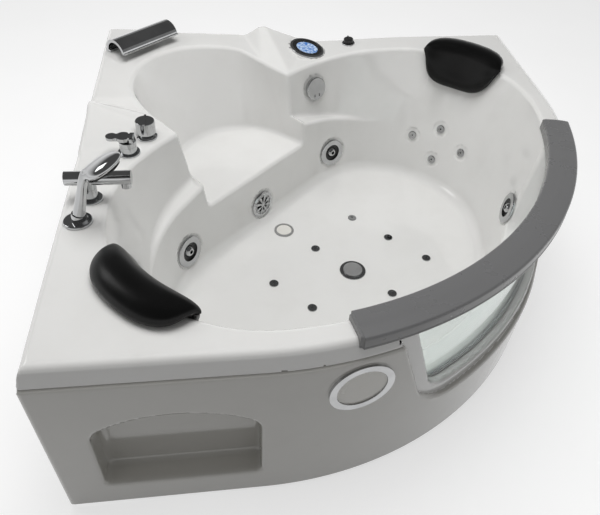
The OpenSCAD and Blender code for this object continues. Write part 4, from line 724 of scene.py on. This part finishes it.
# The formed shell
def shell_sheet(step=0.006):
    """The tub's acrylic: deck, lip, basin, seat, armrests and window surround in one formed sheet."""
    points, faces = skin(shell_air, (-0.7, -0.7, 0.05), (0.7, 0.7, 0.56), step)
    x, y, z = points[faces].mean(axis=1).T
    u, v = to_uv(x, y)
    r = np.hypot(u - FRONT_U, v)
    edge = plan_edge(x, y)
    # The thousandths added here pick whole rows of faces on either side of an edge
    under_lip = (edge > -LIP_SET - 0.0035) & (z < DECK_Z - LIP_H - 0.001)
    recess = np.abs(window_hole(v, z, SHELL_RECESS)) < 0.005
    beside = (r > WINDOW_R + 0.002) & (z < CAP_LOW_Z) & recess & (edge < -LIP_SET - 0.0025)
    points, faces = used(points, faces[~(under_lip | beside)])
    points, faces = bored(points, faces, HOLES)
    obj = formed_sheet("acrylic_shell", points, faces, shell_air, ACRYLIC, SHEET)
    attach(obj, "tub")
    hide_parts("tub_shell")


def apron_lamp(degrees):
    """Place of a lamp on the apron's round front, and the direction out of it."""
    c, s = math.cos(math.radians(degrees)), math.sin(math.radians(degrees))
    return to_xyz(FRONT_U + (FRONT_R - 0.0027) * c, FRONT_R * s, LAMP_Z), to_xyz(c, s, 0)


def trimmed_recess(p):
    """The apron's points, with the ends of the recess's sides in one clean line inside the shell's face."""
    u, v = to_uv(p[:, 0], p[:, 1])
    r = np.hypot(u - FRONT_U, v)
    beside = (np.abs(window_hole(v, p[:, 2], RECESS_GROW)) < 0.012) & (u > WINDOW_FROM_U)
    back = np.where(beside & (r < WINDOW_R + 0.0045), (WINDOW_R - 0.002) / r, 1)
    return to_xyz(FRONT_U + (u - FRONT_U) * back, v * back, p[:, 2]).T


def apron_sheets(step=0.006):
    """The apron's skirt with its rolled top edge, and the two towel niches formed into it."""
    points, faces = skin(apron_air, (-0.69, -0.69, -0.01), (0.69, 0.69, 0.47), step)
    x, y, z = points[faces].mean(axis=1).T
    u, v = to_uv(x, y)
    r = np.hypot(u - FRONT_U, v)
    a, b = niche_side(x, y)
    in_niche = (np.abs(a - NICHE_X) < NICHE_W / 2 + 0.008) & (z < NICHE_FLOOR_Z + NICHE_H + 0.008) \
        & (z > NICHE_FLOOR_Z - 0.008) & (b > -HALF + 0.0045) & (b < -HALF + NICHE_DEPTH + 0.004)
    wall_side = (x < -HALF + 0.003) | (y > HALF - 0.003)
    recess = (np.abs(window_hole(v, z, RECESS_GROW)) < 0.012) & (u > WINDOW_FROM_U) & (r > WINDOW_R + 0.001)
    skirt = ((plan_edge(x, y) > -APRON_FLANGE) | recess) & ~wall_side & (z > APRON_FOOT_Z) & ~in_niche
    for name, keep, node, slot in (("apron_skirt", skirt, "apron", "apron_white"),
                                   ("towel_niche_liners", in_niche, "towel_niches", "apron_white")):
        p, f = used(points, faces[keep])
        if keep is skirt:
            lamps = [(apron_lamp(t), LAMP_HOLE_R) for t in (-LAMP_ANGLE, LAMP_ANGLE)]
            p, f = bored(trimmed_recess(p), f, lamps)
        obj = formed_sheet(name, p, f, apron_air, APRON_SHADED_WHITE, APRON_SHEET)
        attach(obj, "tub")
        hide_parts(node)


def cap_section(inset):
    """Outline of the cap, drawn in by an inset: crowned top, round shoulders, a bead below the front."""
    inner, outer, top, low = CAP_OUT_R - CAP_W + inset, CAP_OUT_R - inset, CAP_TOP_Z - 0.4 * inset, CAP_LOW_Z
    corners = [(inner + 0.02, low, 0), (inner, low, 0.0015), (inner, top - 0.0015, 0.0045),
               ((inner + outer) / 2, top, 0.15), (outer, top - 0.001, 0.0055),
               (outer - 0.0005, low + 0.0055, 0.0012), (outer + 0.0005, low + 0.0035, 0.0008),
               (outer + 0.0005, low, 0.0012), (outer - 0.02, low, 0)]
    return rounded(corners, 6)


def rim_cap(steps=150, end_steps=5):
    """The grey cap over the window's rim: one section bent round the front, drawn in at both ends."""
    quarter = [math.pi / 2 * k / end_steps for k in range(end_steps + 1)]
    middle = CAP_OUT_R - CAP_W / 2
    ends = []
    for t in quarter:
        back = CAP_END_R - CAP_END_R * (1 - math.sin(t))
        ends.append((CAP_ANGLE - math.degrees(back / middle), CAP_END_R - CAP_END_R * (1 - math.cos(t))))
    even = [(t, 0.0) for t in np.linspace(-CAP_ANGLE + 0.8, CAP_ANGLE - 0.8, steps)]
    points, rows = [], []
    for t, inset in [(-a, i) for a, i in ends] + even + ends[::-1]:
        section = cap_section(max(inset, 0))
        rows.append(range(len(points), len(points) + len(section)))
        c, s = math.cos(math.radians(t)), math.sin(math.radians(t))
        points += [to_xyz(FRONT_U + r * c, r * s, z) for r, z in section]
    faces = bands(rows) + [list(reversed(rows[0])), list(rows[-1])]
    obj = new_mesh("window_rim_cap", points, faces)
    obj.data.set_sharp_from_angle(angle=math.radians(35))
    obj.data.materials.append(CAP_GREY)
    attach(obj, "tub")
    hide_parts("rim_cap")


def lobe_wall(angle, z, side):
    """Place on the basin's round end at an angle and height, and the outward direction there."""
    a = math.radians(angle)
    return drawn_in(*lobe_arc(a), side, z), to_xyz(math.cos(a), side * math.sin(a), 0)


# Section of a pillow: distance out from the rim, height over the deck, share of the length it reaches
PILLOW_SECTION = [(0.060, 0.004, 0.84), (0.066, 0.014, 0.86), (0.058, 0.030, 0.90), (0.036, 0.043, 0.94),
                  (0.010, 0.046, 0.97), (-0.014, 0.040, 0.99), (-0.030, 0.020, 1.0), (-0.037, -0.008, 0.99),
                  (-0.039, -0.038, 0.95), (-0.034, -0.066, 0.92), (-0.022, -0.085, 0.90),
                  (-0.008, -0.088, 0.90), (-0.004, -0.072, 0.91), (-0.004, -0.040, 0.95),
                  (-0.004, -0.006, 0.98), (0.008, 0.004, 0.95), (0.032, 0.004, 0.88)]
PILLOW_CORE = (-0.006, 0.010)
# How bluntly its ends close, and the shallow dish in its front
PILLOW_BLUNT, PILLOW_CLOSE = 3.4, 2.3
PILLOW_DISH, DISH_UP, DISH_HEIGHT, DISH_LENGTH = 0.010, 0.030, 0.035, 0.75


def pillow(name, node, side, middle, half_angle=23.4, steps=56, finer=4):
    """A moulded foam headrest over the rim: one round section that runs along it and closes at both ends."""
    section = np.array(PILLOW_SECTION)
    count = len(section)
    loop = np.array([between_points(*(section[(k + i) % count] for i in (-1, 0, 1, 2)), f)
                     for k in range(count) for f in np.arange(finer) / finer])
    points, rows = [], []
    for t in np.cos(np.linspace(math.pi, 0, steps + 1)):
        share = np.maximum(1 - np.abs(t / loop[:, 2]) ** PILLOW_BLUNT, 0) ** (1 / PILLOW_CLOSE)
        out = PILLOW_CORE[0] + (loop[:, 0] - PILLOW_CORE[0]) * share
        up = PILLOW_CORE[1] + (loop[:, 1] - PILLOW_CORE[1]) * share
        dish = PILLOW_DISH * np.exp(-((loop[:, 1] + DISH_UP) / DISH_HEIGHT) ** 2)
        out = np.where(out < -0.012, out + dish * (1 - min(abs(t) / DISH_LENGTH, 1) ** 2), out)
        angle = middle + half_angle * t
        rows.append(range(len(points), len(points) + len(loop)))
        rim, away = lobe_wall(angle, DECK_Z, side)
        for e, h in zip(out, up):
            base = deck_height(*np.array([(rim + away * max(e, 0.004))[:2]]).T)[0]
            place, _ = lobe_wall(angle, base + h, side)
            points.append(place + away * e)
    faces = bands(rows)
    if side > 0:
        faces = [f[::-1] for f in faces]
    obj = new_mesh(name, points, faces)
    weld = obj.modifiers.new("weld", "WELD")
    weld.merge_threshold = 0.0002
    soften = obj.modifiers.new("soften", "SMOOTH")
    soften.factor, soften.iterations = 0.5, 3
    mesh = bpy.data.meshes.new_from_object(obj.evaluated_get(bpy.context.evaluated_depsgraph_get()))
    obj.modifiers.clear()
    obj.data = mesh
    mesh.materials.clear()
    mesh.materials.append(PILLOW)
    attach(obj, "tub")
    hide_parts(node)


def through(stations, finer=5):
    """A smooth row of values through the stations."""
    rows = np.array(stations, float)
    rows = np.concatenate([rows[:1], rows, rows[-1:]])
    out = [between_points(a, b, c, d, f) for a, b, c, d in zip(rows, rows[1:], rows[2:], rows[3:])
           for f in np.arange(finer) / finer]
    return out + [rows[-1]]


# Hand shower: 0 on its stem or 1 on its head, distance along it, lean in degrees, and half widths to the
# back, front and side
SHOWER_AT = (-0.622, -0.269)
STEM_LEAN, HEAD_LEAN, STEM_H = math.radians(15.3), math.radians(58), 0.118
SHOWER_PIN = [(0, -0.006, 15.3, 0.0079, 0.0079, 0.0079), (0, 0.0222, 15.3, 0.0079, 0.0079, 0.0079)]
SHOWER_NECK = [(0, 0.0225, 15.3, 0.0135, 0.0135, 0.0135), (0, 0.050, 12, 0.0118, 0.0118, 0.0118),
               (0, 0.080, 17, 0.0105, 0.0105, 0.0108), (0, 0.104, 35, 0.0105, 0.0100, 0.0112),
               (1, 0.004, 54, 0.0115, 0.0096, 0.0140), (1, 0.013, 58, 0.0125, 0.0098, 0.0215),
               (1, 0.024, 58, 0.0135, 0.0100, 0.0320), (1, 0.0395, 58, 0.0140, 0.0100, 0.0380),
               (1, 0.056, 58, 0.0135, 0.0100, 0.0372), (1, 0.071, 58, 0.0115, 0.0095, 0.0315),
               (1, 0.084, 58, 0.0080, 0.0080, 0.0215), (1, 0.0915, 58, 0.0040, 0.0045, 0.0110),
               (1, 0.0945, 58, 0.0006, 0.0006, 0.0010)]


def hand_shower(around=36):
    """Curved neck that opens into a domed oval head with a flatter spray face, on the pin in its socket."""
    x, y = SHOWER_AT
    base = deck_height(np.array([x, x + 0.002, x]), np.array([y, y, y + 0.002]))
    n = unit([-(base[1] - base[0]) / 0.002, -(base[2] - base[0]) / 0.002, 1])
    forward = unit(np.array([1, 0, 0]) - n[0] * n)
    side, at = np.cross(n, forward), np.array([x, y, base[0]])
    points, faces = [], []
    for stations in (SHOWER_PIN, SHOWER_NECK):
        placed = []
        for part, s, lean, back, front, half in stations:
            a, h = s * math.sin(STEM_LEAN), s * math.cos(STEM_LEAN)
            if part:
                a, h = STEM_H * math.sin(STEM_LEAN) + s * math.sin(HEAD_LEAN), \
                    STEM_H * math.cos(STEM_LEAN) + s * math.cos(HEAD_LEAN)
            placed.append((a, h, math.radians(lean), back, front, half))
        rows = []
        for a, h, lean, back, front, half in (placed if stations is SHOWER_PIN else through(placed)):
            across = math.cos(lean) * forward - math.sin(lean) * n
            rows.append(list(range(len(points), len(points) + around)))
            for t in turns(around):
                c, w = math.cos(t), math.sin(t)
                flat = (1 - abs(w) ** 3.2) ** 0.5 if c > 0 and half > 1.3 * front else abs(c)
                points.append(at + a * forward + h * n + across * (front * flat if c > 0 else -back * flat)
                              + side * half * w)
        faces += bands(rows) + [rows[0][::-1], rows[-1]]
    obj = new_mesh("hand_shower_and_head", points, faces)
    obj.data.set_sharp_from_angle(angle=math.radians(50))
    obj.data.materials.append(CHROME)
    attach(obj, "hand_shower")
    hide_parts("hand_shower")


# Spokes of the suction cover: stations of radius, half width and height; corners of share of width and drop
SPOKE_STATIONS = [(0.0075, 0.0016, 0.0058), (0.014, 0.0030, 0.0064), (0.021, 0.0046, 0.0064),
                  (0.028, 0.0040, 0.0060), (0.0342, 0.0024, 0.0052)]
SPOKE_CORNERS = [(-1, 0.0035), (-1, 0.0012), (-0.55, 0), (0.55, 0), (1, 0.0012), (1, 0.0035)]


def suction_grille(spokes=8, around=96):
    """Suction cover: a domed chrome rim and hub with petal-shaped spokes over a black disc, painted shade for
    the dark opening behind them.
    """
    at, n = GRILLE
    side = unit(np.cross(n, UP))
    axes = np.stack([np.cross(side, n), side, n], axis=1)
    points, faces = [], []

    def ring(outline, closed=True):
        """Rows of points turned round the cover's axis, with the faces between them."""
        rows = []
        for r, h in outline:
            rows.append(range(len(points), len(points) + around))
            points.extend((r * math.cos(t), r * math.sin(t), h) for t in turns(around))
        faces.extend(bands(rows + rows[:1] if closed else rows))
        return rows

    ring(rounded([(0.033, 0.0, 0), (GRILLE_R, 0.0, 0.0005), (GRILLE_R, 0.003, 0.002), (0.0385, 0.0068, 0.003),
                  (0.0335, 0.005, 0.001)]))
    hub = ring(rounded([(0.009, 0.0005, 0), (0.009, 0.005, 0.0015), (0.004, 0.0066, 0.002),
                        (0.0006, 0.0068, 0)]), False)
    faces.append(list(hub[-1]))
    # Flat black disc under the spokes: painted shade for the inside of the opening
    ring([(0.0334, 0.0008), (0.0005, 0.0008)], False)
    shade_disc_first = len(faces) - around
    for k in range(spokes):
        t = 2 * math.pi * (k + 0.5) / spokes
        along, across = np.array([math.cos(t), math.sin(t), 0]), np.array([-math.sin(t), math.cos(t), 0])
        rows = []
        for r, w, h in SPOKE_STATIONS:
            rows.append(range(len(points), len(points) + 6))
            points.extend(along * r + across * a * w + np.array([0, 0, h - drop])
                          for a, drop in SPOKE_CORNERS)
        faces.extend([[p[i], q[i], q[(i + 1) % 6], p[(i + 1) % 6]]
                      for p, q in zip(rows, rows[1:]) for i in range(6)])
        faces.extend([list(rows[0]), list(rows[-1])[::-1]])
    obj = new_mesh("suction_cover", np.array(points) @ axes.T + at, faces)
    obj.data.set_sharp_from_angle(angle=math.radians(32))
    obj.data.materials.append(CHROME)
    obj.data.materials.append(BLACK)
    for face in obj.data.polygons[shade_disc_first:shade_disc_first + around]:
        face.material_index = 1
    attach(obj, "tub")
    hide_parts("suction_grille")


shell_sheet()
apron_sheets()
rim_cap()
hand_shower()
suction_grille()
pillow("left_pillow_foam", "pillow_left", -1, 93.2)
pillow("right_pillow_foam", "pillow_right", 1, 94.9)


# Studio
FLOOR_HALF, FLOOR_TONES, FLOOR_GLOW = 14.0, (0.44, 0.46), 0.62
CAMERA_AT = (-0.2931, -1.3077, 1.3748)
CAMERA_HEADING, CAMERA_TILT, CAMERA_ROLL = -11.87, 90 - 43.99, 5.97
CAMERA_LENS, CAMERA_SHIFT = 36.31, (-0.0415, -0.0028)


def larger(tree, first, second):
    """The larger of two numbers."""
    return add(tree, "ShaderNodeMath", [(0, first), (1, second)], operation="MAXIMUM").outputs[0]


def studio_floor():
    """Pale floor that keeps the tub's shadow and reads as white to the camera and in reflections."""
    mesh = bpy.data.meshes.new("studio_floor")
    s = FLOOR_HALF
    mesh.from_pydata([(-s, -s, 0), (s, -s, 0), (s, s, 0), (-s, s, 0)], [], [(0, 1, 2, 3)])
    floor = bpy.data.objects.new("studio_floor", mesh)
    bpy.context.scene.collection.objects.link(floor)
    material = bpy.data.materials.new("Pale studio floor")
    material.use_nodes = True
    tree = material.node_tree
    shader = tree.nodes["Principled BSDF"]
    shader.inputs["Roughness"].default_value = 0.9
    shader.inputs["Specular IOR Level"].default_value = 0.0
    speck = between(tree, noise(tree, 3.0, 4.0, 0.6), 0.3, 0.7, *FLOOR_TONES)
    tone = add(tree, "ShaderNodeCombineColor", [(0, speck), (1, speck), (2, speck)])
    tree.links.new(tone.outputs[0], shader.inputs["Base Color"])
    rays = add(tree, "ShaderNodeLightPath")
    seen = larger(tree, rays.outputs["Is Camera Ray"], rays.outputs["Is Glossy Ray"])
    seen = larger(tree, seen, rays.outputs["Is Transmission Ray"])
    shader.inputs["Emission Color"].default_value = (1, 1, 1, 1)
    glow = add(tree, "ShaderNodeMath", [(0, seen), (1, FLOOR_GLOW)], operation="MULTIPLY")
    tree.links.new(glow.outputs[0], shader.inputs["Emission Strength"])
    mesh.materials.append(material)


def studio_world(ambient=0.28, ceiling=0.10):
    """Even room light: the camera and glass see white behind the tub, and gloss sees a dark ceiling above."""
    world = bpy.data.worlds.new("Studio")
    bpy.context.scene.world = world
    world.use_nodes = True
    tree = world.node_tree
    background = tree.nodes["Background"]
    background.inputs["Color"].default_value = (1, 1, 1, 1)
    rays = add(tree, "ShaderNodeLightPath")
    where = add(tree, "ShaderNodeTexCoord").outputs["Generated"]
    height = add(tree, "ShaderNodeSeparateXYZ", [(0, where)]).outputs["Z"]
    mirrored = between(tree, height, 0.10, 0.42, 1.0, ceiling)
    plain = larger(tree, rays.outputs["Is Camera Ray"], rays.outputs["Is Transmission Ray"])
    glossy = rays.outputs["Is Glossy Ray"]
    light = add(tree, "ShaderNodeMix", [(0, glossy), (2, ambient), (3, mirrored)]).outputs[0]
    light = add(tree, "ShaderNodeMix", [(0, plain), (2, light), (3, 1.0)]).outputs[0]
    tree.links.new(light, background.inputs["Strength"])


def soft_lamp(name, place, aim, size, power, mirrored=True):
    """A square soft box facing a point. One that isn't mirrored shows in none of the tub's gloss."""
    light = bpy.data.lights.new(name, "AREA")
    light.shape, light.size, light.energy = "SQUARE", size, power
    lamp = bpy.data.objects.new(name, light)
    bpy.context.scene.collection.objects.link(lamp)
    lamp.location = place
    lamp.visible_glossy = mirrored
    direction = np.array(aim, float) - np.array(place, float)
    lamp.rotation_euler = Vector(direction).to_track_quat("-Z", "Y").to_euler()


def camera():
    """The photograph's viewpoint: 44 degrees down on the free corner, rolled a little."""
    data = bpy.data.cameras.new("Camera")
    data.sensor_width = 36
    data.lens = CAMERA_LENS
    data.shift_x, data.shift_y = CAMERA_SHIFT
    data.clip_end = 60
    cam = bpy.data.objects.new("Camera", data)
    bpy.context.scene.collection.objects.link(cam)
    heading, tilt, roll = [Matrix.Rotation(math.radians(angle), 4, axis) for angle, axis in
                           ((CAMERA_HEADING, "Z"), (CAMERA_TILT, "X"), (CAMERA_ROLL, "Z"))]
    cam.matrix_world = Matrix.Translation(Vector(CAMERA_AT)) @ (heading @ tilt @ roll)
    bpy.context.scene.camera = cam


studio_floor()
studio_world()
soft_lamp("key_lamp", (-0.2, 0.2, 2.7), (0, 0, 0.3), 1.6, 44, mirrored=False)
soft_lamp("side_lamp", (-2.2, 0.6, 2.0), (0, 0, 0.4), 0.8, 6)
camera()
bpy.context.scene.view_settings.view_transform = "Standard"
